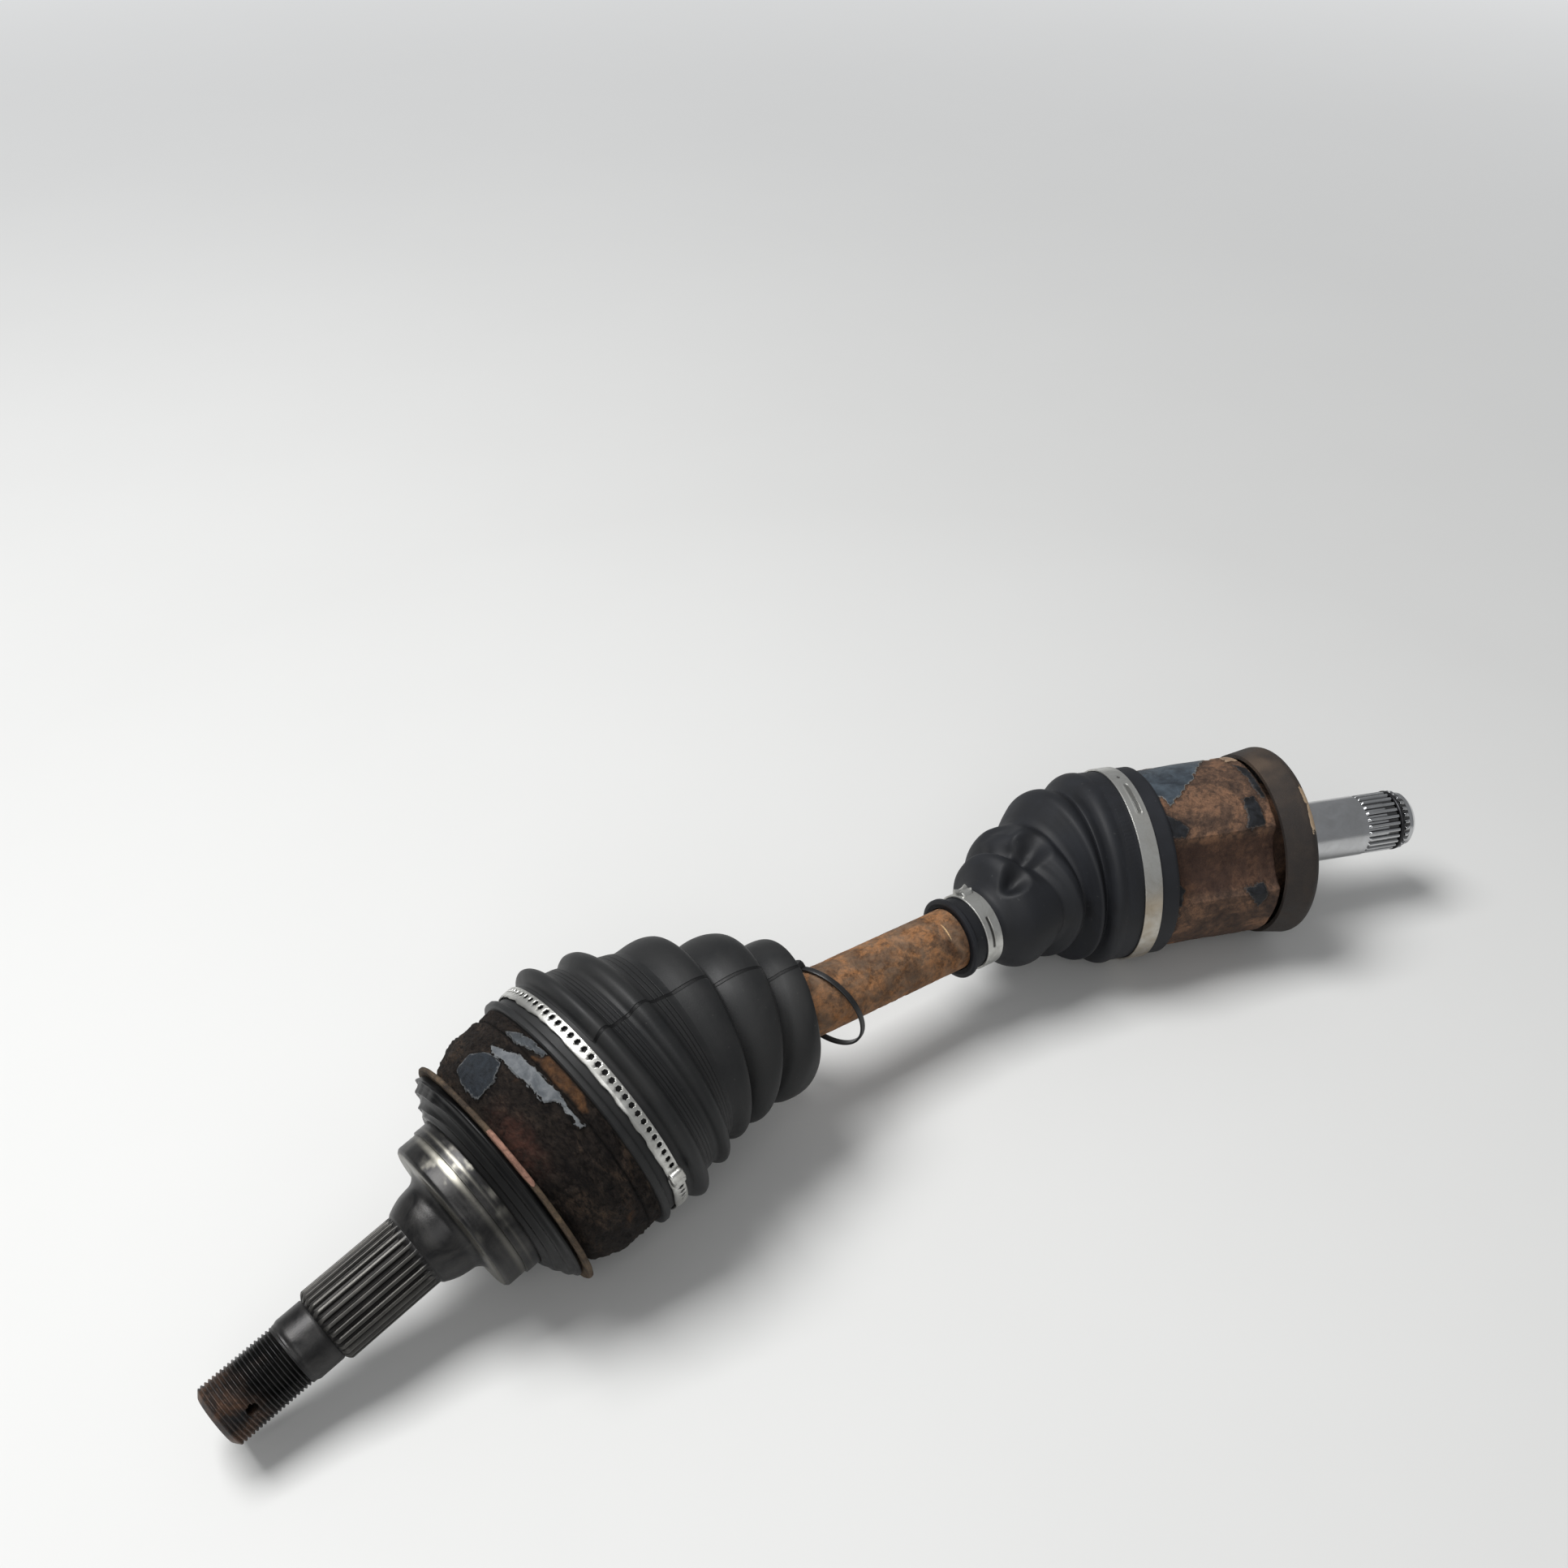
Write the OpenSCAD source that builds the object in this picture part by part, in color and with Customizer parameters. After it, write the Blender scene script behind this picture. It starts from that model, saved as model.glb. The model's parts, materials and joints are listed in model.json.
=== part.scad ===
// Drive axle shaft: a fixed ball joint at the wheel end, a plunging tripod joint at the gearbox end.
// Millimetres. X runs along the shaft from the wheel end to the gearbox end, Z is up, the floor is Z = 0.
// The axle lies as it was put down. The dust flange touches the floor at the wheel end, the large boot band
// and the dust cover touch it at the gearbox end, and the stiff joints hold their bend.

/* [Resting pose] */
// Sideways turn of the wheel end against the shaft, degrees
hub_yaw = 8; // [4:0.1:9]
// Sideways turn of the gearbox end against the shaft, degrees
housing_yaw = -21; // [-22:0.1:-6]
// Height of the thread's tip above the floor
tip_lift = 9.7; // [4:0.1:12]

/* [Shaft] */
// Distance between the two joint centres
joint_span = 274.5; // [250:0.5:330]
// Diameter of the bare shaft
shaft_d = 27; // [25:0.1:28]
// Diameter of the splined ends that carry the race and the spider
seat_d = 24; // [22:0.1:24.5]
// Length of a splined end, from the joint centre to the taper
seat_len = 31; // [27:0.5:36]
// Length of the taper from a splined end to the bare shaft
shaft_taper = 9; // [5:0.5:12]

/* [Stub axle] */
// Outside diameter of the hub nut's thread
thread_d = 24; // [20:0.1:24.5]
// Length of the thread
thread_len = 31.3; // [26:0.1:38]
// Bevel on the tip of the thread
thread_bevel = 1.6; // [0.8:0.1:2.5]
// Diameter of the cotter pin hole
cotter_d = 4; // [3:0.1:5]
// Distance of the cotter pin hole from the tip
cotter_from_tip = 11.4; // [7:0.1:14]
// Angle of the cotter pin hole round the stub, from straight down, degrees
cotter_at = 63; // [0:1:179]
// Diameter of the plain neck behind the thread
neck_d = 25; // [24.6:0.1:26.5]
// Length of the plain neck
neck_len = 11.7; // [8:0.1:16]
// Outside diameter of the hub spline
hub_spline_d = 28.9; // [28:0.1:31]
// Length of the hub spline
hub_spline_len = 38.9; // [32:0.1:48]
// Number of teeth on the hub spline
hub_teeth = 28; // [24:1:32]
// Depth of the splines' grooves
spline_depth = 1.2; // [0.8:0.1:1.5]
// Length of the boss between the spline and the collar
boss_len = 15.4; // [12:0.1:20]
// Diameter of the boss
boss_d = 37; // [34:0.5:42]
// Diameter of the collar's front land
collar_d = 62.4; // [58:0.1:64]
// Height of the step behind the front land
collar_step = 0.9; // [0.5:0.1:1.2]
// Distance from the collar's face to the dust flange
collar_len = 23.7; // [19:0.1:28]

/* [Bell] */
// Distance from the dust flange to the joint centre
flange_to_joint = 32.8; // [31:0.1:40]
// Diameter of the dust flange
flange_d = 98.2; // [92:0.1:104]
// Thickness of the dust flange
flange_t = 1.8; // [1.2:0.1:2.4]
// Diameter of the bell's cylindrical band
bell_d = 98.6; // [97:0.1:102]
// Diameter of the bell behind the dust flange
bell_root_d = 82; // [76:0.5:88]
// Length of the bell's flare
flare_len = 17; // [13:0.5:20]
// Distance from the joint centre to the bell's mouth
bell_mouth = 14; // [12.5:0.1:16]
// Depth of the seat for the boot
boot_seat = 1.9; // [1.2:0.1:2.2]

/* [Wheel end ball joint] */
// Diameter of the balls
ball_d = 17.6; // [17:0.1:17.8]
// Radius of the circle that the ball centres lie on
ball_pitch_r = 33; // [32:0.1:33.5]
// Radius of the inner race's sphere
race_r = 29.5; // [28.5:0.1:30]
// Width of the inner race
race_w = 24; // [22:0.5:26]
// Wall of the cage
cage_wall = 6; // [5:0.1:6.4]
// Width of the cage
cage_w = 27; // [25:0.5:30]
// Clearance between the spherical faces
sphere_gap = 0.3; // [0.2:0.05:0.5]
// Clearance of a ball in its track
ball_gap = 2; // [1.9:0.05:2.1]

/* [Wheel end boot] */
// Thickness of the rubber
boot_wall = 2.2; // [1.8:0.1:2.6]
// Height of the turned-out lip
boot_lip_h = 3.2; // [2:0.1:4.5]
// Distance from the joint centre to the boot's small end
boot_len = 99; // [96:0.5:112]
// Lean of the last folds, as a share of the joint's bend
fold_lean = 2; // [1:0.1:2.2]
// Width of the perforated band
outer_band_w = 8; // [6:0.1:8.5]
// Thickness of the bands
band_t = 0.8; // [0.6:0.05:1.1]
// Number of holes in the perforated band
band_holes = 54; // [40:1:60]
// Angle of the perforated band's buckle, from straight down, degrees
buckle_at = 267; // [0:1:359]

/* [Tie] */
// Inside radius of the loose tie
tie_r = 19; // [17.6:0.1:22]
// Lean of the tie's top along the shaft, degrees
tie_lean = 8; // [0:1:12]
// Lean of the tie's near side along the shaft, degrees
tie_swing = 20; // [10:1:24]
// Width of the tie's strap
tie_w = 2.4; // [1.8:0.1:3]
// Thickness of the tie's strap
tie_t = 1.1; // [0.8:0.1:1.4]
// Distance of the tie's middle from the boot's small end
tie_from_boot = 15; // [14:0.5:20]

/* [Gearbox end housing] */
// Diameter over the lobes
housing_d = 80; // [79:0.1:84]
// Distance from the joint centre to the housing's mouth, toward the wheel
housing_mouth = 9; // [7:0.5:10]
// Distance from the joint centre to the back of the lobes
housing_back = 62.5; // [57:0.5:66]
// Rounding of the lobes' back edge
housing_round = 1.5; // [1:0.5:4]
// Width of the hollows between the lobes
hollow_w = 29; // [24:0.5:31]
// Radius of the hollows' floor
hollow_r = 30; // [26:0.5:40]
// Radius of the bore between the tracks
bore_r = 25; // [24.5:0.1:26]
// Depth of the cavity behind the joint centre
cavity_len = 48; // [46:0.5:52]
// Diameter of the boss that carries the dust cover
cover_boss_d = 40; // [36:0.5:46]
// Largest diameter of the dust cover
cover_d = 86.1; // [85:0.1:92]
// Diameter of the dust cover's open rim
cover_rim_d = 82.4; // [81:0.1:84]
// Length of the dust cover
cover_len = 15.5; // [12:0.5:18]
// Sheet thickness of the dust cover
cover_t = 1.8; // [1.2:0.1:2.2]
// Gap between the lobes' back and the dust cover's rim
cover_gap = 1.6; // [1.2:0.1:5]
// Diameter of the bright journal
journal_d = 27.7; // [26:0.1:30]
// Length of the journal
journal_len = 40; // [32:0.1:46]
// Length of the gearbox spline
side_spline_len = 20.5; // [16:0.1:26]
// Number of teeth on the gearbox spline
side_teeth = 26; // [22:1:30]
// Length of the bevelled tip behind the gearbox spline
side_tip = 4; // [3:0.1:6]

/* [Tripod] */
// Radius of the circle that the roller centres lie on
roller_pitch_r = 22; // [21.5:0.1:22.5]
// Diameter of the rollers
roller_d = 27; // [25:0.1:27.2]
// Clearance of a roller in its track
roller_gap = 2; // [1.9:0.05:2.2]
// Width of the rollers
roller_w = 10; // [9:0.1:10.6]
// Diameter of the spider's trunnions
trunnion_d = 13; // [12:0.1:13.4]
// Wall of the rings between the trunnions and the rollers
ring_wall = 3.4; // [3:0.1:3.6]
// Diameter of the spider's hub
spider_d = 30; // [29:0.1:31]
// Width of the spider's hub
spider_w = 18; // [16:0.5:20]

/* [Gearbox end boot] */
// Distance from the joint centre to the boot's large lip, toward the gearbox
inner_lip_at = 13; // [12:0.1:16]
// Distance from the joint centre to the large band's far edge, toward the gearbox
inner_band_at = 4.6; // [4:0.1:6]
// Width of the large band
inner_band_w = 8; // [7:0.1:10]
// Distance from the joint centre to the boot's small lip, toward the wheel
inner_boot_len = 95; // [90:0.5:104]
// Length of the boot's small collar
inner_collar_len = 19; // [17:0.5:22]
// Lean of the gearbox end boot's last folds, as a share of the joint's bend
inner_fold_lean = 1.7; // [1:0.1:1.8]
// Width of the small band
small_band_w = 8; // [6:0.1:9]
// Distance of the small band from the boot's small lip
small_band_from_lip = 8; // [6:0.1:8.5]
// Angle of the small band's ear, from straight down, degrees
ear_at = 153; // [0:1:359]
// Height of the small band's ear above the band
ear_h = 2.2; // [1.5:0.1:3]
// Width of the small band's ear along the band
ear_w = 6; // [4:0.1:8]

/* [Fits] */
// Clearance of pressed and clamped pieces
seat_gap = 0.05; // [0.02:0.01:0.1]
// Clearance of the bands on the rubber
band_gap = 0.2; // [0.15:0.01:0.3]
// Clearance of pieces that turn on each other
turn_gap = 0.25; // [0.2:0.05:0.3]
// Wire diameter of the circlips
clip_d = 1.8; // [1.4:0.1:2]

/* [Hidden] */
$fn = 64;
eps = 0.01;
boot_sides = 32;
// A many-sided lining stands clear of the round seat that it grips
lining_k = 1 / cos(180 / boot_sides);

// Stations on the wheel end's axis, counted from the joint centre, negative toward the wheel
flange_z = -flange_to_joint;
collar_z = flange_z - collar_len;
boss_z = collar_z - boss_len;
spline_z = boss_z - hub_spline_len;
neck_z = spline_z - neck_len;
tip_z = neck_z - thread_len;
spline_bevel = 1.5;
spline_shoulder = 0.6;
spline_root = 1;
boss_fillet = boss_len * 0.3;
collar_bevel = 2;
collar_land = 9;
seal_len = 9;
seal_rib = 1.2;
bell_seat_r = bell_d / 2 - boot_seat;
step_r = collar_d / 2 + collar_step;
seam_depth = 0.5;
seam_w = 1;
seam_z = -5.3;

// Stations on the gearbox end's axis, counted from the joint centre, positive toward the gearbox
cover_z = housing_back + cover_gap;
cover_back = cover_z + cover_len;
cover_seat = cover_back - cover_t;
cover_round = 4;
boss_end = cover_back + 2;
journal_end = boss_end + journal_len;
side_spline_end = journal_end + side_spline_len;
side_end = side_spline_end + side_tip;
side_spline_r = journal_d / 2 - 0.25;
side_tip_bevel = 2;
side_clip_z = side_spline_end - 4;
inner_lining_r = (housing_d / 2 + seat_gap) * lining_k;
inner_grip_r = inner_lining_r + boot_wall;
inner_band_r = inner_grip_r + band_gap + band_t;

// The flange's rim touches the floor and the thread's lowest circle is lifted clear of it
flange_rise = (flange_d - thread_d) / 2;
flange_run = flange_z - tip_z - thread_bevel;
hub_pitch = atan2(flange_rise, flange_run) - asin(tip_lift / norm([flange_rise, flange_run]));
hub_height = flange_d / 2 * cos(hub_pitch) - flange_z * sin(hub_pitch);
// The large band and the dust cover are the two lowest circles of the gearbox end
band_low_z = inner_band_r > cover_d / 2 ? inner_band_at : inner_band_at - inner_band_w;
cover_low_z = cover_back - cover_round;
housing_pitch = atan2(cover_d / 2 - inner_band_r, cover_low_z - band_low_z);
housing_height = inner_band_r * cos(housing_pitch) - band_low_z * sin(housing_pitch);
shaft_pitch = asin((housing_height - hub_height) / joint_span);

function heading(yaw, pitch) = [cos(pitch) * cos(yaw), cos(pitch) * sin(yaw), sin(pitch)];
function unit(v) = v / norm(v);
function yaw_of(v) = atan2(v.y, v.x);
function pitch_of(v) = asin(v.z / norm(v));
function angle_between(a, b) = atan2(norm(cross(a, b)), a * b);
function turned(axis, a, v) = v * cos(a) + cross(axis, v) * sin(a) + axis * (axis * v) * (1 - cos(a));
function smooth(t) = let (u = min(1, max(0, t))) u * u * (3 - 2 * u);
function mix(a, b, t) = a + (b - a) * t;
// Sideways and downward axes of a frame whose own axis points along v
function side_axis(v) = [-sin(yaw_of(v)), cos(yaw_of(v)), 0];
function down_axis(v) = cross(side_axis(v), v);

shaft_dir = heading(0, shaft_pitch);
hub_dir = heading(hub_yaw, hub_pitch);
housing_dir = heading(housing_yaw, housing_pitch);

// A joint as [direction of the outer member, bend angle, bend axis, direction half way to the shaft]
function joint_of(dir) = [dir, angle_between(dir, shaft_dir),
    unit(cross(dir, shaft_dir)), unit(dir + shaft_dir)];
outer_joint = joint_of(hub_dir);
inner_joint = joint_of(housing_dir);

// Boot outlines are lists of [station, radius] from the large lip to the small end.
// A boot's folds are rows of [share of the length, share of the radius, height of the fold that follows].
function fold(s0, v0, s1, v1, height, steps) = [for (i = [0 : steps - 1]) let (u = i / steps)
    [mix(s0, s1, u), mix(v0, v1, u) + height * sin(180 * u)]];
function folds(rows, s0, s1, r0, r1, steps) = [for (i = [0 : len(rows) - 2]) each fold(
    mix(s0, s1, rows[i][0]), mix(r1, r0, rows[i][1]),
    mix(s0, s1, rows[i + 1][0]), mix(r1, r0, rows[i + 1][1]),
    rows[i][2] * (r0 - r1), steps)];
outer_fold_rows = [[0, 1, 0.17], [0.119, 0.9, 0.16], [0.327, 0.69, 0.19],
    [0.536, 0.46, 0.25], [0.75, 0.3, 0.31], [1, 0, 0]];
inner_fold_rows = [[0, 1, 0.14], [0.193, 0.74, 0.27], [0.483, 0.46, 0.19], [0.731, 0.32, 0.2], [1, 0, 0]];
outer_steps = 6;
inner_steps = 3;
lip_w = 2;
neck_lining_r = (shaft_d / 2 + seat_gap) * lining_k;
boot_neck_r = neck_lining_r + boot_wall;

outer_lining_r = (bell_seat_r + seat_gap) * lining_k;
outer_grip_r = outer_lining_r + boot_wall;
outer_lip_r = bell_d / 2 + boot_lip_h;
outer_fold_s = bell_mouth + 1;
outer_outline = concat(
    [[0, outer_grip_r], [0, outer_lip_r], [lip_w, outer_lip_r], [lip_w + 1, outer_grip_r]],
    folds(outer_fold_rows, outer_fold_s, boot_len, outer_grip_r, boot_neck_r, outer_steps),
    [[boot_len, boot_neck_r]]);
outer_lining = concat(
    [[0, outer_lining_r], [outer_fold_s, outer_lining_r]],
    [for (p = folds(outer_fold_rows, outer_fold_s, boot_len, outer_grip_r, boot_neck_r, inner_steps))
        if (p[0] > outer_fold_s + 1) [p[0], p[1] - boot_wall]],
    [[boot_len, neck_lining_r]]);

inner_fold_s = inner_band_w - inner_band_at + 2;
inner_fold_end = inner_boot_len - inner_collar_len;
inner_small_lip_r = boot_neck_r + 2;
inner_outline = concat(
    [[-inner_lip_at, inner_grip_r - 1], [1 - inner_lip_at, inner_grip_r]],
    folds(inner_fold_rows, inner_fold_s, inner_fold_end, inner_grip_r, boot_neck_r, outer_steps),
    [[inner_fold_end, boot_neck_r], [inner_boot_len - lip_w - 1, boot_neck_r],
     [inner_boot_len - lip_w, inner_small_lip_r], [inner_boot_len, inner_small_lip_r]]);
inner_lining = concat(
    [[-inner_lip_at, inner_lining_r], [housing_mouth + 1, inner_lining_r]],
    [for (p = folds(inner_fold_rows, inner_fold_s, inner_fold_end, inner_grip_r, boot_neck_r, inner_steps))
        if (p[0] > housing_mouth + 2) [p[0], p[1] - boot_wall]],
    [[inner_fold_end, neck_lining_r], [inner_boot_len, neck_lining_r]]);

// Bends of the boots' middles and leans of their folds, as shares of the joint's bend.
// The last folds of a boot lean past the shaft, and its small end sits square on it.
function ease(s, from, to) = smooth((s - from) / (to - from));
lean_from = bell_mouth + 10;
lean_to = boot_len - 11;
function outer_bend(s) = ease(s, bell_mouth, boot_len - 1);
function outer_lean(s) = fold_lean * ease(s, lean_from, lean_to)
    - (fold_lean - 1) * ease(s, lean_to, boot_len - 1);
function inner_bend(s) = ease(s, housing_mouth + 2, inner_fold_end);
inner_lean_to = inner_fold_end - 16;
function inner_lean(s) = inner_fold_lean * ease(s, housing_mouth + 1, inner_lean_to)
    - (inner_fold_lean - 1) * ease(s, inner_lean_to, inner_fold_end);
// Point of a bent boot, from the joint centre.
// toward is 1 for a joint whose shaft leaves along the axis and -1 for one whose shaft comes in along it.
function boot_point(joint, toward, s, r, a, bend, lean) =
    turned(joint[2], joint[1] * (bend - 0.5), toward * s * joint[3])
    + turned(joint[2], joint[1] * (lean - 0.5),
        r * cos(a) * down_axis(joint[3]) + r * sin(a) * side_axis(joint[3]));
function reversed(v) = [for (i = [len(v) - 1 : -1 : 0]) v[i]];
function boot_faces(rings, toward) = [for (i = [0 : rings - 1], j = [0 : boot_sides - 1]) let (
    k = (i + 1) % rings,
    n = (j + 1) % boot_sides,
    a = i * boot_sides + j,
    b = k * boot_sides + j,
    c = k * boot_sides + n,
    d = i * boot_sides + n)
    each toward > 0 ? [[a, b, c], [a, c, d]] : [[a, c, b], [a, d, c]]];
outer_loop = concat(outer_outline, reversed(outer_lining));
inner_loop = concat(inner_outline, reversed(inner_lining));
outer_boot_points = [for (p = outer_loop, j = [0 : boot_sides - 1])
    boot_point(outer_joint, 1, p[0], p[1], 360 * j / boot_sides, outer_bend(p[0]), outer_lean(p[0]))];
inner_boot_points = [for (p = inner_loop, j = [0 : boot_sides - 1])
    boot_point(inner_joint, -1, p[0], p[1], 360 * j / boot_sides, inner_bend(p[0]), inner_lean(p[0]))];

// The frame's origin is the middle of the footprint on the floor
function reach(v, axis) = sqrt(1 - pow(v * axis, 2));
span_vec = joint_span * shaft_dir;
x_low = (tip_z * hub_dir).x - (thread_d / 2 - thread_bevel) * reach(hub_dir, [1, 0, 0]);
side_tip_r = side_spline_r - spline_depth - side_tip_bevel;
x_high = span_vec.x + (side_end * housing_dir).x + side_tip_r * reach(housing_dir, [1, 0, 0]);
cover_flat_r = cover_d / 2 - cover_round;
y_low = (cover_low_z * housing_dir).y - cover_flat_r * reach(housing_dir, [0, 1, 0]) - cover_round;
y_high = max([for (p = outer_boot_points) p.y]);
outer_centre = [-(x_low + x_high) / 2, -(y_low + y_high) / 2, hub_height];
inner_centre = outer_centre + span_vec;

// A frame at a joint: side -1 is the outer member, 0 is half way, 1 is the shaft
module joint_frame(centre, joint, side)
    translate(centre)
        rotate(a = side * joint[1] / 2, v = joint[2])
            rotate([0, 90 - pitch_of(joint[3]), yaw_of(joint[3])])
                children();
module at_bell() joint_frame(outer_centre, outer_joint, -1) children();
module at_outer_cage() joint_frame(outer_centre, outer_joint, 0) children();
module at_shaft() joint_frame(outer_centre, outer_joint, 1) children();
module at_housing() joint_frame(inner_centre, inner_joint, -1) children();
module at_spider() joint_frame(inner_centre, inner_joint, 1) children();

// Revolved solid from points of [station, radius]
module turned_solid(points) rotate_extrude() polygon([for (p = points) [p[1], p[0]]]);

// Splined bar that stands on its end
module splined_bar(r, depth, teeth, len) {
    sunk = depth + 0.4;
    tooth = [[-0.32, -sunk], [-0.2, 0], [0.2, 0], [0.32, -sunk]];
    linear_extrude(len)
        polygon([for (i = [0 : teeth - 1], t = tooth) let (a = 360 * (i + t[0]) / teeth)
            (r + t[1]) * [cos(a), sin(a)]]);
}

// Groove that a ball rolls along, in the plane of the axis, between two angles from the equator
module ball_track(from, to)
    rotate([90, 0, 0])
        rotate(from)
            rotate_extrude(angle = to - from)
                translate([ball_pitch_r, 0])
                    circle(r = ball_d / 2 + ball_gap);

// Open wire ring that lies in a groove
module wire_ring(ring_r, gap_deg)
    rotate(gap_deg / 2)
        rotate_extrude(angle = 360 - gap_deg)
            translate([ring_r, 0])
                circle(d = clip_d, $fn = 24);
module wire_groove(ring_r)
    rotate_extrude()
        translate([ring_r, 0])
            circle(d = clip_d + 2 * seat_gap, $fn = 24);

module stub_profile()
    turned_solid([[tip_z, 0],
        [tip_z, thread_d / 2 - thread_bevel],
        [tip_z + thread_bevel, thread_d / 2],
        [neck_z, thread_d / 2],
        [neck_z + 1, neck_d / 2],
        [spline_z, neck_d / 2],
        [spline_z + spline_bevel, hub_spline_d / 2 - spline_depth],
        [boss_z, hub_spline_d / 2 - spline_depth],
        [boss_z, hub_spline_d / 2 + spline_shoulder],
        [boss_z + boss_len * 0.35, boss_d / 2 - 1],
        for (a = [0 : 15 : 90]) [collar_z - boss_fillet * (1 - sin(a)),
            boss_d / 2 + boss_fillet * (1 - cos(a))],
        [collar_z, collar_d / 2 - collar_bevel],
        [collar_z + collar_bevel * 0.7, collar_d / 2],
        [collar_z + collar_land, collar_d / 2],
        [collar_z + collar_land, step_r],
        [flange_z + flange_t, step_r],
        [flange_z + flange_t, 0]]);

rooted_len = hub_spline_len + spline_root;
// The stub axle is one forging with the bell and meets it behind the flange
module outer_stub_axle()
    color("#3a3a3b")
        at_bell()
            difference() {
                union() {
                    stub_profile();
                    translate([0, 0, spline_z])
                        intersection() {
                            splined_bar(hub_spline_d / 2, spline_depth, hub_teeth, rooted_len);
                            turned_solid([[0, 0], [0, neck_d / 2 - 1], [spline_bevel, hub_spline_d / 2],
                                [rooted_len, hub_spline_d / 2], [rooted_len, 0]]);
                        }
                }
                translate([0, 0, tip_z + cotter_from_tip])
                    rotate([90, 0, cotter_at - 90])
                        cylinder(d = cotter_d, h = thread_d + 2, center = true);
                sphere(r = socket_r, $fn = 96);
            }

socket_r = race_r + 2 * sphere_gap + cage_wall;
// A bell's tracks run from this far behind the joint's middle to this far before it, degrees
track_back = 42;
track_front = 62;
module bell_profile()
    turned_solid([[flange_z + flange_t + seat_gap, 0],
        for (u = [0 : 0.2 : 1]) [flange_z + flange_t + seat_gap + u * flare_len,
            mix(bell_root_d / 2, bell_d / 2, sin(90 * pow(u, 0.9)))],
        [seam_z - seam_w / 2, bell_d / 2],
        [seam_z, bell_d / 2 - seam_depth],
        [seam_z + seam_w / 2, bell_d / 2],
        [-seat_gap, bell_d / 2],
        [-seat_gap, bell_seat_r],
        [bell_mouth, bell_seat_r],
        [bell_mouth, 0]]);

module outer_joint_bell() {
    mouth_r = sqrt(pow(socket_r, 2) - pow(bell_mouth / 2, 2));
    color("#3b302a")
        at_bell()
            difference() {
                bell_profile();
                sphere(r = socket_r, $fn = 96);
                translate([0, 0, bell_mouth / 2])
                    cylinder(r1 = mouth_r, r2 = mouth_r + 5, h = bell_mouth / 2 + eps);
                for (i = [0 : 5])
                    rotate(90 + 60 * i)
                        ball_track(-track_back, track_front);
            }
}

flange_edge = 0.4;
flange_back = flange_z + flange_t - seat_gap;
module outer_dust_flange()
    color("#8a6248")
        at_bell()
            turned_solid([[flange_z, step_r + seat_gap],
                [flange_back, step_r + seat_gap],
                [flange_back, flange_d / 2 - flange_edge],
                [flange_back - flange_edge, flange_d / 2],
                [flange_z, flange_d / 2]]);

// Ridged rubber ring on the collar, stepping out toward the dust flange
module outer_seal_ring() {
    ribs = 4;
    seal_r = flange_d / 2 - 3;
    back_z = flange_z - seat_gap;
    front_z = back_z - seal_len;
    pitch = (seal_r - step_r - 2) / ribs;
    color("#17181a")
        at_bell()
            turned_solid(concat(
                [[back_z, step_r + seat_gap], [front_z, step_r + seat_gap], [front_z, step_r + 2]],
                [for (i = [0 : ribs - 1]) let (
                    z = mix(front_z, back_z - seal_rib, i / ribs),
                    r = step_r + 2 + pitch * i)
                    each [[z + seal_rib, r], [z + seal_rib, r + pitch * 0.45],
                        [z + seal_rib * 0.2, r + pitch * 0.55], [z + seal_rib * 0.2, r + pitch]]],
                [[back_z, seal_r]]));
}

// A race's tracks run as far behind the joint's middle as before it, degrees
race_track = 50;
module outer_inner_race()
    color("#9a9a98")
        at_shaft()
            difference() {
                intersection() {
                    sphere(r = race_r, $fn = 96);
                    cylinder(r = race_r + 1, h = race_w, center = true);
                }
                cylinder(d = seat_d + 2 * seat_gap, h = race_w + 1, center = true);
                for (i = [0 : 5])
                    rotate(90 + 60 * i)
                        ball_track(-race_track, race_track);
            }

module outer_cage()
    color("#77787a")
        at_outer_cage()
            difference() {
                intersection() {
                    sphere(r = race_r + sphere_gap + cage_wall, $fn = 96);
                    cylinder(r = race_r + cage_wall + 1, h = cage_w, center = true);
                }
                sphere(r = race_r + sphere_gap, $fn = 96);
                for (i = [0 : 5])
                    rotate(90 + 60 * i)
                        rotate([0, 90, 0])
                            cylinder(d = ball_d + 2 * turn_gap, h = ball_pitch_r * 2);
            }

module outer_ball(i)
    color("#c9cbcc")
        at_outer_cage()
            rotate(90 + 60 * (i - 1))
                translate([ball_pitch_r, 0, 0])
                    sphere(d = ball_d);

clip_ring_r = seat_d / 2 - clip_d * 0.1;
module outer_circlip()
    color("#8d8f90")
        at_shaft()
            translate([0, 0, -race_w / 2 - clip_d / 2 - seat_gap])
                wire_ring(clip_ring_r, 30);

module shaft() {
    end_past = clip_d * 2.2;
    outer_end = -race_w / 2 - end_past;
    inner_end = joint_span + spider_w / 2 + end_past;
    color("#a35f2c")
        at_shaft()
            difference() {
                turned_solid([[outer_end, 0],
                    [outer_end, seat_d / 2 - 1],
                    [outer_end + 1, seat_d / 2],
                    [seat_len, seat_d / 2],
                    [seat_len + shaft_taper, shaft_d / 2],
                    [joint_span - seat_len - shaft_taper, shaft_d / 2],
                    [joint_span - seat_len, seat_d / 2],
                    [inner_end - 1, seat_d / 2],
                    [inner_end, seat_d / 2 - 1],
                    [inner_end, 0]]);
                translate([0, 0, -race_w / 2 - clip_d / 2 - seat_gap])
                    wire_groove(clip_ring_r);
                translate([0, 0, joint_span + spider_w / 2 + clip_d / 2 + seat_gap])
                    wire_groove(clip_ring_r);
            }
}

module outer_boot()
    color("#232527")
        translate(outer_centre)
            polyhedron(points = outer_boot_points, faces = boot_faces(len(outer_loop), 1));

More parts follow.
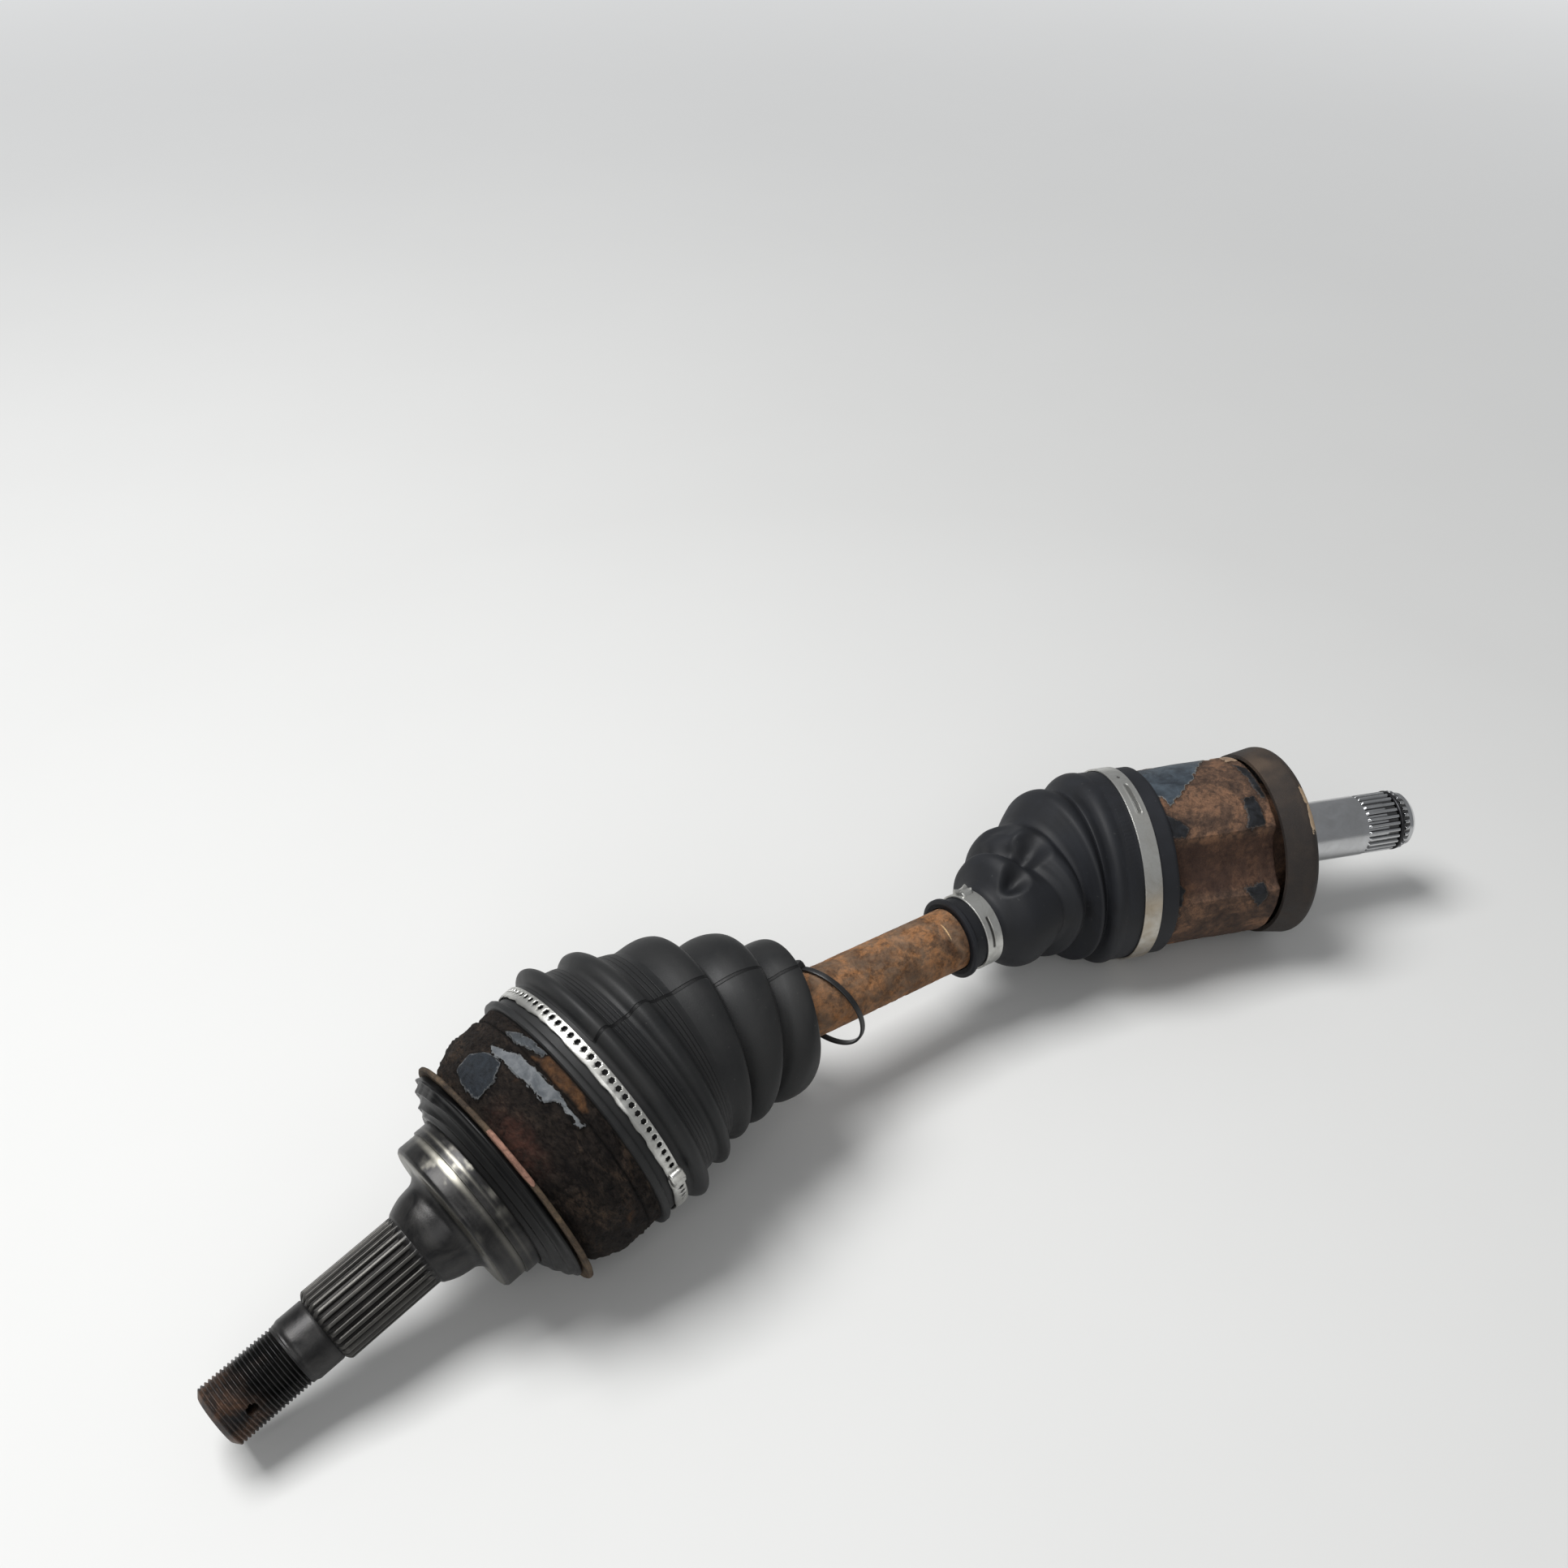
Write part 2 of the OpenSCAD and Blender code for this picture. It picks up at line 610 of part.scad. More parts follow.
// Band with one row of small holes and a buckle
module outer_boot_band() {
    band_z = lip_w + 1 + (bell_mouth - lip_w - 1 - outer_band_w) / 2;
    band_in = outer_grip_r + band_gap;
    hole_w = 2 * PI * band_in / band_holes * 0.42;
    color("#c4c6c6")
        at_bell()
            difference() {
                union() {
                    turned_solid([[band_z, band_in], [band_z, band_in + band_t],
                        [band_z + outer_band_w, band_in + band_t], [band_z + outer_band_w, band_in]]);
                    rotate(buckle_at)
                        translate([band_in + band_t / 2, -4, band_z + 0.5])
                            cube([band_t * 2.2, 8, outer_band_w - 1]);
                }
                for (i = [0 : band_holes - 1])
                    rotate(360 * i / band_holes)
                        translate([band_in - 1, -hole_w / 2, band_z + outer_band_w * 0.3])
                            cube([band_t + 2, hole_w, outer_band_w * 0.4]);
            }
}

// Loose strap that hangs on the shaft beside the boot's small end
tie_gap = 0.3;
module boot_tie() {
    lean = norm([tie_lean, tie_swing]);
    drop = tie_r * cos(tie_lean) - shaft_d / 2 - tie_gap - tie_w / 2 * sin(lean);
    color("#141516")
        at_shaft()
            translate([drop, 0, boot_len + tie_from_boot])
                rotate([-tie_swing, -tie_lean, 0]) {
                    rotate_extrude()
                        translate([tie_r, -tie_w / 2])
                            square([tie_t, tie_w]);
                    rotate(100)
                        translate([tie_r + tie_t / 2, -2, -2])
                            cube([3.4, 4, 4]);
                }
}

module inner_boot()
    color("#1b1d21")
        translate(inner_centre)
            polyhedron(points = inner_boot_points, faces = boot_faces(len(inner_loop), -1));

// Plain band with a folded ear that stands out at one place
module eared_band(r, w) {
    turned_solid([[0, r], [0, r + band_t], [w, r + band_t], [w, r]]);
    rotate(ear_at)
        translate([r + band_t / 2, -ear_w / 2, w * 0.1])
            cube([band_t / 2 + ear_h, ear_w, w * 0.8]);
}

module inner_boot_small_band()
    color("#c9caca")
        at_shaft()
            translate([0, 0, joint_span - inner_boot_len + small_band_from_lip])
                eared_band(boot_neck_r + band_gap, small_band_w);

module inner_boot_large_band()
    color("#bfc0bd")
        at_housing()
            translate([0, 0, inner_band_at - inner_band_w])
                turned_solid([[0, inner_grip_r + band_gap], [0, inner_band_r],
                    [inner_band_w, inner_band_r], [inner_band_w, inner_grip_r + band_gap]]);

module housing_profile()
    turned_solid([[-housing_mouth, 0],
        [-housing_mouth, housing_d / 2 - 1],
        [1 - housing_mouth, housing_d / 2],
        for (a = [0 : 15 : 90]) [housing_back - housing_round * (1 - sin(a)),
            housing_d / 2 - housing_round * (1 - cos(a))],
        [housing_back, cover_boss_d / 2 + 8],
        [cover_seat, cover_boss_d / 2 + 6],
        [cover_seat, cover_boss_d / 2],
        [boss_end - 2, cover_boss_d / 2],
        [boss_end, cover_boss_d / 2 - 2],
        [boss_end, journal_d / 2 + 1.5],
        [boss_end + 1.5, journal_d / 2],
        [journal_end - 1, journal_d / 2],
        [journal_end, side_spline_r - spline_depth],
        [side_spline_end, side_spline_r - spline_depth],
        [side_end - side_tip_bevel, side_spline_r - spline_depth],
        [side_end, side_tip_r],
        [side_end, 0]]);

module inner_joint_housing() {
    track_r = roller_d / 2 + roller_gap;
    edge_at = sqrt(pow(housing_d / 2, 2) - pow(hollow_w / 2, 2));
    hollow_at = edge_at + sqrt(pow(hollow_r, 2) - pow(hollow_w / 2, 2));
    color("#7a4a2c")
        at_housing()
            difference() {
                union() {
                    difference() {
                        housing_profile();
                        for (i = [0 : 2])
                            rotate(120 * i)
                                translate([hollow_at, 0, inner_lip_at - 4])
                                    cylinder(r = hollow_r, h = housing_back - inner_lip_at + 4 + eps);
                    }
                    translate([0, 0, journal_end - 1])
                        intersection() {
                            splined_bar(side_spline_r, spline_depth, side_teeth, side_spline_len + 1);
                            turned_solid([[0, 0], [0, side_spline_r], [side_spline_len - 1, side_spline_r],
                                [side_spline_len + 1, side_spline_r - spline_depth - eps],
                                [side_spline_len + 1, 0]]);
                        }
                }
                translate([0, 0, -housing_mouth - eps]) {
                    cylinder(r = bore_r, h = housing_mouth + cavity_len);
                    cylinder(r1 = bore_r + 4, r2 = bore_r, h = 4);
                    for (i = [0 : 2])
                        rotate(60 + 120 * i)
                            translate([roller_pitch_r, 0, 0])
                                cylinder(r = track_r, h = housing_mouth + cavity_len);
                }
                translate([0, 0, side_clip_z])
                    wire_groove(side_spline_r - clip_d * 0.35);
            }
}

module inner_dust_cover() {
    disc_r = cover_boss_d / 2 + seat_gap;
    color("#3a322c")
        at_housing()
            turned_solid([[cover_seat + seat_gap, disc_r],
                [cover_seat + seat_gap, cover_d / 2 - cover_round],
                for (a = [0 : 30 : 90]) [cover_back - cover_round + (cover_round - cover_t) * cos(a),
                    cover_d / 2 - cover_round + (cover_round - cover_t) * sin(a)],
                [cover_z, cover_rim_d / 2 - cover_t],
                [cover_z, cover_rim_d / 2],
                [cover_low_z, cover_d / 2],
                for (a = [75 : -15 : 0]) [cover_back - cover_round + cover_round * cos(a),
                    cover_d / 2 - cover_round + cover_round * sin(a)],
                [cover_back, disc_r]]);
}

module stub_circlip()
    color("#2a2b2c")
        at_housing()
            translate([0, 0, side_clip_z])
                wire_ring(side_spline_r - clip_d * 0.35, 24);

spider_bevel = 1.5;
module inner_spider()
    color("#8f9192")
        at_spider()
            difference() {
                union() {
                    turned_solid([[-spider_w / 2, 0],
                        [-spider_w / 2, spider_d / 2 - spider_bevel],
                        [spider_bevel - spider_w / 2, spider_d / 2],
                        [spider_w / 2 - spider_bevel, spider_d / 2],
                        [spider_w / 2, spider_d / 2 - spider_bevel],
                        [spider_w / 2, 0]]);
                    for (i = [0 : 2])
                        rotate(180 + 120 * i)
                            rotate([0, 90, 0])
                                cylinder(d = trunnion_d, h = roller_pitch_r + roller_w / 2 + 1);
                }
                cylinder(d = seat_d + 2 * seat_gap, h = spider_w + 1, center = true);
            }

ring_r = trunnion_d / 2 + turn_gap + ring_wall;
// Place of roller i on its trunnion, with Z along the trunnion
module at_trunnion(i)
    rotate(180 + 120 * (i - 1))
        translate([roller_pitch_r, 0, 0])
            rotate([0, 90, 0])
                children();

module inner_ring(i)
    color("#a9abab")
        at_spider()
            at_trunnion(i)
                difference() {
                    intersection() {
                        sphere(r = ring_r);
                        cylinder(r = ring_r + 1, h = roller_w, center = true);
                    }
                    cylinder(d = trunnion_d + 2 * turn_gap, h = roller_w + 1, center = true);
                }

module roller()
    difference() {
        intersection() {
            sphere(d = roller_d);
            cylinder(d = roller_d + 1, h = roller_w, center = true);
        }
        sphere(r = ring_r + sphere_gap);
    }

module inner_roller(i)
    color("#b9bbbc")
        at_spider()
            at_trunnion(i)
                roller();

module inner_circlip()
    color("#8d8f90")
        at_shaft()
            translate([0, 0, joint_span + spider_w / 2 + clip_d / 2 + seat_gap])
                wire_ring(clip_ring_r, 30);

outer_stub_axle();
outer_joint_bell();
outer_dust_flange();
outer_seal_ring();
outer_inner_race();
outer_cage();
for (i = [1 : 6]) outer_ball(i);
outer_circlip();
outer_boot();
outer_boot_band();
boot_tie();
shaft();
inner_boot();
inner_boot_small_band();
inner_boot_large_band();
inner_joint_housing();
inner_dust_cover();
stub_circlip();
inner_spider();
for (i = [1 : 3]) inner_ring(i);
for (i = [1 : 3]) inner_roller(i);
inner_circlip();
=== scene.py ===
"""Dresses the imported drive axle: rusty forgings, rubber boots, steel bands, stage and camera."""

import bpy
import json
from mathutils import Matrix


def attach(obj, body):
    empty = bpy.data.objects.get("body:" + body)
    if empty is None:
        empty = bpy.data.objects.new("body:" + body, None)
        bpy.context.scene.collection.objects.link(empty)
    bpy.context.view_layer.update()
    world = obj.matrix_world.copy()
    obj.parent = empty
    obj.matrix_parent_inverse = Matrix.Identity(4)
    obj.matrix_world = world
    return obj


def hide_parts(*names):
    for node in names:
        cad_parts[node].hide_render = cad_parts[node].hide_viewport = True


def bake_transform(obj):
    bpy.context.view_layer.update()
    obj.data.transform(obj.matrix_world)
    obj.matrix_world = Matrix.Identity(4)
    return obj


bl_info = {
    "name": "Worn Drive Axle",
    "version": (1, 0, 0),
    "blender": (4, 5, 0),
    "location": "View3D > Sidebar > Axle",
    "description": "Builds the skins, boots, bands and finishes of a worn drive axle on its packed frame",
    "category": "Object",
}

import json

import bpy
import numpy as np
from mathutils import Matrix

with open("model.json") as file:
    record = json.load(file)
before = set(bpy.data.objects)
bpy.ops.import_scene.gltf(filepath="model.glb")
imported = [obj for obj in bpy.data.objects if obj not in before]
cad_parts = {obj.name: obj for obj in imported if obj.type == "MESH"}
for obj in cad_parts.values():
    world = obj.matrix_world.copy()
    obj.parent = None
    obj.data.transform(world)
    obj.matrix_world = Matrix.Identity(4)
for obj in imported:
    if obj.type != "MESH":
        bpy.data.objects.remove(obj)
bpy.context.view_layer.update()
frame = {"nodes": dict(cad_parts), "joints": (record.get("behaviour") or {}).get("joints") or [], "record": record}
MM = 0.001
TAU = 2 * np.pi


# Frames of the axle, in millimetres

def unit(v):
    """A vector divided by its length."""
    v = np.asarray(v, float)
    return v / np.linalg.norm(v)


def turned(axis, angle, v):
    """Turns v about a unit axis: v cos + (axis x v) sin + axis (axis . v)(1 - cos)."""
    angle = np.asarray(angle, float)[..., None]
    along = (v @ axis)[..., None] * axis
    return v * np.cos(angle) + np.cross(axis, v) * np.sin(angle) + along * (1 - np.cos(angle))


JOINTS = {j["name"]: j for j in frame["joints"]}
MOUNTS = {m["name"]: m for m in frame["record"]["mounts"]}
WHEEL_CENTRE = np.array(JOINTS["outer_swing_1"]["pos_m"]) / MM
GEARBOX_CENTRE = np.array(JOINTS["inner_swing"]["pos_m"]) / MM
SHAFT_AXIS = unit(GEARBOX_CENTRE - WHEEL_CENTRE)
HUB_AXIS = -unit(MOUNTS["hub_thread"]["axis"])
HOUSING_AXIS = -unit(JOINTS["inner_plunge"]["axis"])
SPAN = float(np.linalg.norm(GEARBOX_CENTRE - WHEEL_CENTRE))


class BentJoint:
    """A joint between an outer member and the shaft, with the frame half way between them."""

    def __init__(self, centre, member_axis):
        cross = np.cross(member_axis, SHAFT_AXIS)
        self.centre = centre
        self.bend = float(np.arctan2(np.linalg.norm(cross), member_axis @ SHAFT_AXIS))
        self.hinge = unit(cross)
        self.mid = unit(member_axis + SHAFT_AXIS)
        self.side = unit([-self.mid[1], self.mid[0], 0.0])
        self.down = np.cross(self.side, self.mid)

    def axes(self, share):
        """Rows down, side, axis: share -0.5 is the outer member, 0.5 is the shaft."""
        rows = np.array([self.down, self.side, self.mid])
        return turned(self.hinge, np.full(3, share * self.bend), rows)

    def bent(self, along, radius, angle, bend, lean):
        """Point of a tube whose middle line turns by the share bend of the joint's bend, its rings by lean."""
        middle = turned(self.hinge, self.bend * (bend - 0.5), along[..., None] * self.mid)
        low = (radius * np.cos(angle))[..., None] * self.down
        ring = low + (radius * np.sin(angle))[..., None] * self.side
        return self.centre + middle + turned(self.hinge, self.bend * (lean - 0.5), ring)


WHEEL_JOINT = BentJoint(WHEEL_CENTRE, HUB_AXIS)
GEARBOX_JOINT = BentJoint(GEARBOX_CENTRE, HOUSING_AXIS)
BELL_AXES = WHEEL_JOINT.axes(-0.5)
SHAFT_AXES = WHEEL_JOINT.axes(0.5)
HOUSING_AXES = GEARBOX_JOINT.axes(-0.5)


# Stations of the solids, in millimetres from the joint centres

TIP_Z, NECK_Z, SPLINE_Z, BOSS_Z, COLLAR_Z, FLANGE_Z = -153.8, -122.5, -110.8, -71.9, -56.5, -32.8
FLANGE_BACK = -31.05
COVER_Z, COVER_BACK = 64.1, 79.6
BOOT_END, GEAR_BOOT_END = 99.0, 95.0


# Numbers on grids

def smooth(t):
    """Eases 0 to 1: 3 t squared - 2 t cubed, held outside."""
    t = np.clip(t, 0, 1)
    return t * t * (3 - 2 * t)


def bump(x, centre, half):
    """A round hill of height 1 that falls to 0 at half from its centre."""
    return smooth(1 - np.abs(x - centre) / half)


def angle_gap(a, b):
    """Signed difference of two angles, between -pi and pi."""
    return (a - b + np.pi) % TAU - np.pi


def lattice(cell, seed):
    """Pseudo-random number from 0 to 1 for each whole-number cell."""
    c = cell.astype(np.int64)
    h = (c[..., 0] * 374761393 + c[..., 1] * 668265263 + c[..., 2] * 2147483647 + seed * 974711) & 0xFFFFFFFF
    h = ((h ^ (h >> 13)) * 1274126177) & 0xFFFFFFFF
    return ((h ^ (h >> 16)) & 0xFFFF) / 65535.0


def value_noise(p, size, seed):
    """Random lattice values at a spacing of size, eased between the eight corners of each cell; -1 to 1."""
    q = np.asarray(p, float) / size
    base = np.floor(q)
    w = smooth(q - base)
    total = 0.0
    for corner in np.ndindex(2, 2, 2):
        k = np.array(corner)
        share = np.prod(np.where(k == 1, w, 1 - w), axis=-1)
        total = total + share * lattice(base + k, seed)
    return 2 * total - 1


def rough(p, size, seed, octaves=4):
    """Sum of value noises, each at half the size and half the height of the one before."""
    return sum(value_noise(p, size / 2 ** k, seed + 17 * k) / 2 ** k for k in range(octaves)) / 1.6


def spread(points, step):
    """Points along straight legs of an outline, no further apart than step."""
    p = np.asarray(points, float)
    legs = np.linalg.norm(np.diff(p, axis=0), axis=1)
    counts = np.maximum(1, np.ceil(legs / step).astype(int))
    knots = np.concatenate([[0], np.cumsum(counts)])
    at = np.arange(knots[-1] + 1)
    return np.stack([np.interp(at, knots, p[:, k]) for k in range(p.shape[1])], 1)


def flowing(points, step):
    """Cubic curve through points, with tangents from the neighbours, sampled by length."""
    p = np.asarray(points, float)
    u = np.concatenate([[0], np.cumsum(np.linalg.norm(np.diff(p, axis=0), axis=1))])
    slope = np.gradient(p, u, axis=0)
    at = np.linspace(0, u[-1], int(np.ceil(u[-1] / step)) + 1)
    i = np.clip(np.searchsorted(u, at, side="right") - 1, 0, len(u) - 2)
    h = (u[i + 1] - u[i])[:, None]
    t = ((at - u[i]) / (u[i + 1] - u[i]))[:, None]
    return ((2 * t ** 3 - 3 * t ** 2 + 1) * p[i] + (t ** 3 - 2 * t ** 2 + t) * h * slope[i]
            + (3 * t ** 2 - 2 * t ** 3) * p[i + 1] + (t ** 3 - t ** 2) * h * slope[i + 1])


def inside(x, y, outline):
    """Signed distance to the edge of a closed outline, positive inside."""
    a = np.asarray(outline, float)
    b = np.roll(a, -1, axis=0)
    near = np.full(x.shape, 1e9)
    odd = np.zeros(x.shape, bool)
    for (x0, y0), (x1, y1) in zip(a, b):
        dx, dy = x1 - x0, y1 - y0
        t = np.clip(((x - x0) * dx + (y - y0) * dy) / (dx * dx + dy * dy + 1e-12), 0, 1)
        near = np.minimum(near, np.hypot(x - x0 - t * dx, y - y0 - t * dy))
        crosses = (y0 > y) != (y1 > y)
        odd ^= crosses & (x < dx * (y - y0) / (dy if dy else 1e-12) + x0)
    return np.where(odd, near, -near)


# Meshes

def link(name, vertices, faces, attributes, sharp=38.0):
    """New object at the origin from millimetre vertices and index faces, with point attributes."""
    mesh = bpy.data.meshes.new(name)
    mesh.from_pydata((vertices * MM).tolist(), [], faces)
    for key, values in attributes.items():
        layer = mesh.attributes.new(key, "FLOAT", "POINT")
        layer.data.foreach_set("value", np.asarray(values, np.float32).ravel())
    mesh.polygons.foreach_set("use_smooth", np.ones(len(mesh.polygons), bool))
    mesh.update()
    mesh.set_sharp_from_angle(angle=np.radians(sharp))
    obj = bpy.data.objects.new(name, mesh)
    bpy.context.scene.collection.objects.link(obj)
    return obj


def skin(name, grid, attributes=None, loop=False, sharp=38.0):
    """Closed surface over a grid of rows round an axis.

    Rows join round. The last row joins the first where loop is set; otherwise a fan closes each end.
    The signed volume, a third of the sum of x . (y x z) over the triangles, tells which way the faces point.
    """
    rows, cols = grid.shape[:2]
    index = np.arange(rows * cols).reshape(rows, cols)
    ahead = np.roll(index, -1, axis=1)
    below = np.roll(index, -1, axis=0) if loop else index[1:]
    below_ahead = np.roll(below, -1, axis=1)
    top, top_ahead = (index, ahead) if loop else (index[:-1], ahead[:-1])
    quads = np.stack([top, below, below_ahead, top_ahead], -1).reshape(-1, 4)
    vertices = grid.reshape(-1, 3)
    a, b, c, d = (vertices[quads[:, k]] for k in range(4))
    centre = vertices.mean(0)
    volume = np.einsum("ij,ij->", a - centre, np.cross(b - centre, c - centre))
    volume += np.einsum("ij,ij->", a - centre, np.cross(c - centre, d - centre))
    faces = quads.tolist() if volume > 0 else quads[:, ::-1].tolist()
    extra = {k: v.reshape(-1) for k, v in (attributes or {}).items()}
    if not loop:
        ends = np.array([grid[0].mean(0), grid[-1].mean(0)])
        first = np.stack([np.full(cols, rows * cols), index[0], ahead[0]], -1)
        last = np.stack([np.full(cols, rows * cols + 1), ahead[-1], index[-1]], -1)
        fans = np.concatenate([first, last])
        faces += (fans if volume > 0 else fans[:, ::-1]).tolist()
        vertices = np.concatenate([vertices, ends])
        extra = {k: np.concatenate([v, [v[:cols].mean(), v[-cols:].mean()]]) for k, v in extra.items()}
    return link(name, vertices, faces, extra, sharp)


def lathe(profile, count, seen=None):
    """Grids of station, radius and angle for an outline of [station, radius] turned round its axis.

    Where seen gives two angles in degrees, two thirds of the columns lie between them.
    """
    angle = np.arange(count) * TAU / count
    if seen:
        dense = count * 2 // 3
        first = round((count - dense) * seen[0] / (360 - seen[1] + seen[0]))
        angle = np.radians(np.interp(np.arange(count), [0, first, first + dense, count], [0, *seen, 360]))
    station = np.repeat(profile[:, :1], count, axis=1)
    radius = np.repeat(profile[:, 1:2], count, axis=1)
    return station, radius, np.repeat(angle[None], len(profile), axis=0)


def placed(station, radius, angle, centre, axes):
    """Points of cylinder coordinates: radius along down and side by the angle, station along the axis."""
    local = np.stack([radius * np.cos(angle), radius * np.sin(angle), station], -1)
    return centre + local @ axes


def on_bell(station, radius, angle):
    """Points of cylinder coordinates about the bell's axis."""
    return placed(station, radius, angle, WHEEL_CENTRE, BELL_AXES)


def on_shaft(station, radius, angle):
    """Points of cylinder coordinates about the shaft's axis, from the wheel end joint."""
    return placed(station, radius, angle, WHEEL_CENTRE, SHAFT_AXES)


def on_housing(station, radius, angle):
    """Points of cylinder coordinates about the housing's axis."""
    return placed(station, radius, angle, GEARBOX_CENTRE, HOUSING_AXES)


def dressed(obj, material, body, slot, *nodes):
    """Gives a piece its material and body, and hides the solids that it stands for; slot is not used."""
    obj.data.materials.append(material)
    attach(obj, body)
    if nodes:
        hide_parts(*nodes)
    return obj


# Node trees

class Tree:
    """Adds nodes to a tree; inputs are given as sockets to link or as values to set."""

    def __init__(self, tree):
        self.tree = tree

    def add(self, kind, inputs=None, **settings):
        node = self.tree.nodes.new(kind)
        for key, value in settings.items():
            setattr(node, key, value)
        for key, value in (inputs or {}).items():
            if isinstance(value, bpy.types.NodeSocket):
                self.tree.links.new(value, node.inputs[key])
            else:
                node.inputs[key].default_value = value
        return node

    def noise(self, vector, scale, detail=6.0, roughness=0.6, distortion=0.0):
        node = self.add("ShaderNodeTexNoise", {"Vector": vector, "Scale": scale, "Detail": detail,
                                               "Roughness": roughness, "Distortion": distortion})
        return node.outputs["Fac"]

    def ramp(self, value, low, high, to_low=0.0, to_high=1.0):
        node = self.add("ShaderNodeMapRange", {"Value": value, "From Min": low, "From Max": high,
                                               "To Min": to_low, "To Max": to_high})
        return node.outputs["Result"]

    def math(self, operation, a, b=0.0):
        return self.add("ShaderNodeMath", {0: a, 1: b}, operation=operation).outputs[0]

    def mix(self, factor, a, b):
        node = self.add("ShaderNodeMix", {"Factor": factor}, data_type="RGBA")
        for socket, value in ((node.inputs[6], a), (node.inputs[7], b)):
            if isinstance(value, bpy.types.NodeSocket):
                self.tree.links.new(value, socket)
            else:
                socket.default_value = value
        return node.outputs[2]

    def attribute(self, name):
        return self.add("ShaderNodeAttribute", attribute_name=name).outputs["Fac"]

    def place(self):
        return self.add("ShaderNodeTexCoord").outputs["Object"]

    def layered(self, axes, along):
        """Place turned into a body's own axes, with the axis direction divided by along."""
        turn = Matrix(axes.T.tolist()).to_euler()
        return self.add("ShaderNodeMapping", {"Vector": self.place(), "Rotation": turn, "Scale": (1, 1, along)},
                        vector_type="TEXTURE").outputs["Vector"]


def rgba(colour):
    """Colour of three numbers with full alpha."""
    return (*tuple(colour)[:3], 1.0)


def shade(r, g, b):
    """Linear colour of an sRGB colour given from 0 to 255."""
    c = np.array([r, g, b]) / 255
    return tuple(np.where(c <= 0.04045, c / 12.92, ((c + 0.055) / 1.055) ** 2.4).tolist())


def new_group(name, inputs, outputs):
    """Empty shader node group with named sockets: its tree helper, its input node and its output node."""
    group = bpy.data.node_groups.new(name, "ShaderNodeTree")
    for label, kind, default in inputs:
        socket = group.interface.new_socket(label, in_out="INPUT", socket_type=kind)
        socket.default_value = default
    for label, kind in outputs:
        group.interface.new_socket(label, in_out="OUTPUT", socket_type=kind)
    t = Tree(group)
    return t, t.add("NodeGroupInput"), t.add("NodeGroupOutput")


FLOAT, COLOUR, VECTOR = "NodeSocketFloat", "NodeSocketColor", "NodeSocketVector"


def rust_group():
    """Rust: three colours mixed by coarse and fine noise, with a rough height of scale and pits, and painted
    shade, near black, in the low parts of the scale.
    """
    t, given, out = new_group("Rust scale", [
        ("Vector", VECTOR, (0, 0, 0)), ("Scale", FLOAT, 1.0),
        ("Bright share", FLOAT, 0.5), ("Crevice shade", FLOAT, 0.0),
        ("Dark", COLOUR, (0.02, 0.015, 0.012, 1)), ("Brown", COLOUR, (0.1, 0.05, 0.03, 1)),
        ("Bright", COLOUR, (0.3, 0.12, 0.04, 1))], [
        ("Color", COLOUR), ("Roughness", FLOAT), ("Height", FLOAT), ("Patch", FLOAT)])
    g = given.outputs
    coarse = t.noise(g["Vector"], t.math("MULTIPLY", g["Scale"], 70.0), 8.0, 0.62, 0.6)
    fine = t.noise(g["Vector"], t.math("MULTIPLY", g["Scale"], 420.0), 6.0, 0.7, 0.2)
    grit = t.noise(g["Vector"], t.math("MULTIPLY", g["Scale"], 1500.0), 3.0, 0.7)
    worn = t.math("ADD", t.math("MULTIPLY", coarse, 0.72), t.math("MULTIPLY", fine, 0.28))
    brown = t.mix(t.ramp(worn, 0.38, 0.55), g["Dark"], g["Brown"])
    edge = t.math("SUBTRACT", 0.78, t.math("MULTIPLY", g["Bright share"], 0.36))
    bright = t.ramp(worn, t.math("SUBTRACT", edge, 0.05), t.math("ADD", edge, 0.07))
    colour = t.mix(bright, brown, g["Bright"])
    speckle = t.mix(t.ramp(grit, 0.42, 0.62, 0.35, 0.0), colour, g["Dark"])
    height = t.math("ADD", t.math("MULTIPLY", fine, 0.6), t.math("MULTIPLY", grit, 0.25))
    # painted shade: near black where the fine noise, and so the height, is low
    crevice_shade = t.math("MULTIPLY", t.ramp(fine, 0.4, 0.52, 1.0, 0.0), g["Crevice shade"])
    t.tree.links.new(t.mix(crevice_shade, speckle, (0.004, 0.003, 0.003, 1)), out.inputs["Color"])
    t.tree.links.new(t.ramp(fine, 0.3, 0.7, 0.62, 0.95), out.inputs["Roughness"])
    t.tree.links.new(height, out.inputs["Height"])
    t.tree.links.new(bright, out.inputs["Patch"])
    return t.tree


def film_group():
    """Worn film: a smudged mask at a coarse scale and a fine grain for height and gloss."""
    t, given, out = new_group("Smudge and grain", [
        ("Vector", VECTOR, (0, 0, 0)), ("Smudge scale", FLOAT, 60.0), ("Grain scale", FLOAT, 1800.0)], [
        ("Smudge", FLOAT), ("Grain", FLOAT), ("Specks", FLOAT)])
    g = given.outputs
    smudge = t.ramp(t.noise(g["Vector"], g["Smudge scale"], 5.0, 0.6, 0.8), 0.35, 0.68)
    grain = t.noise(g["Vector"], g["Grain scale"], 4.0, 0.7)
    specks = t.ramp(t.noise(g["Vector"], t.math("MULTIPLY", g["Grain scale"], 0.45), 2.0, 0.5), 0.72, 0.78)
    for label, socket in (("Smudge", smudge), ("Grain", grain), ("Specks", specks)):
        t.tree.links.new(socket, out.inputs[label])
    return t.tree


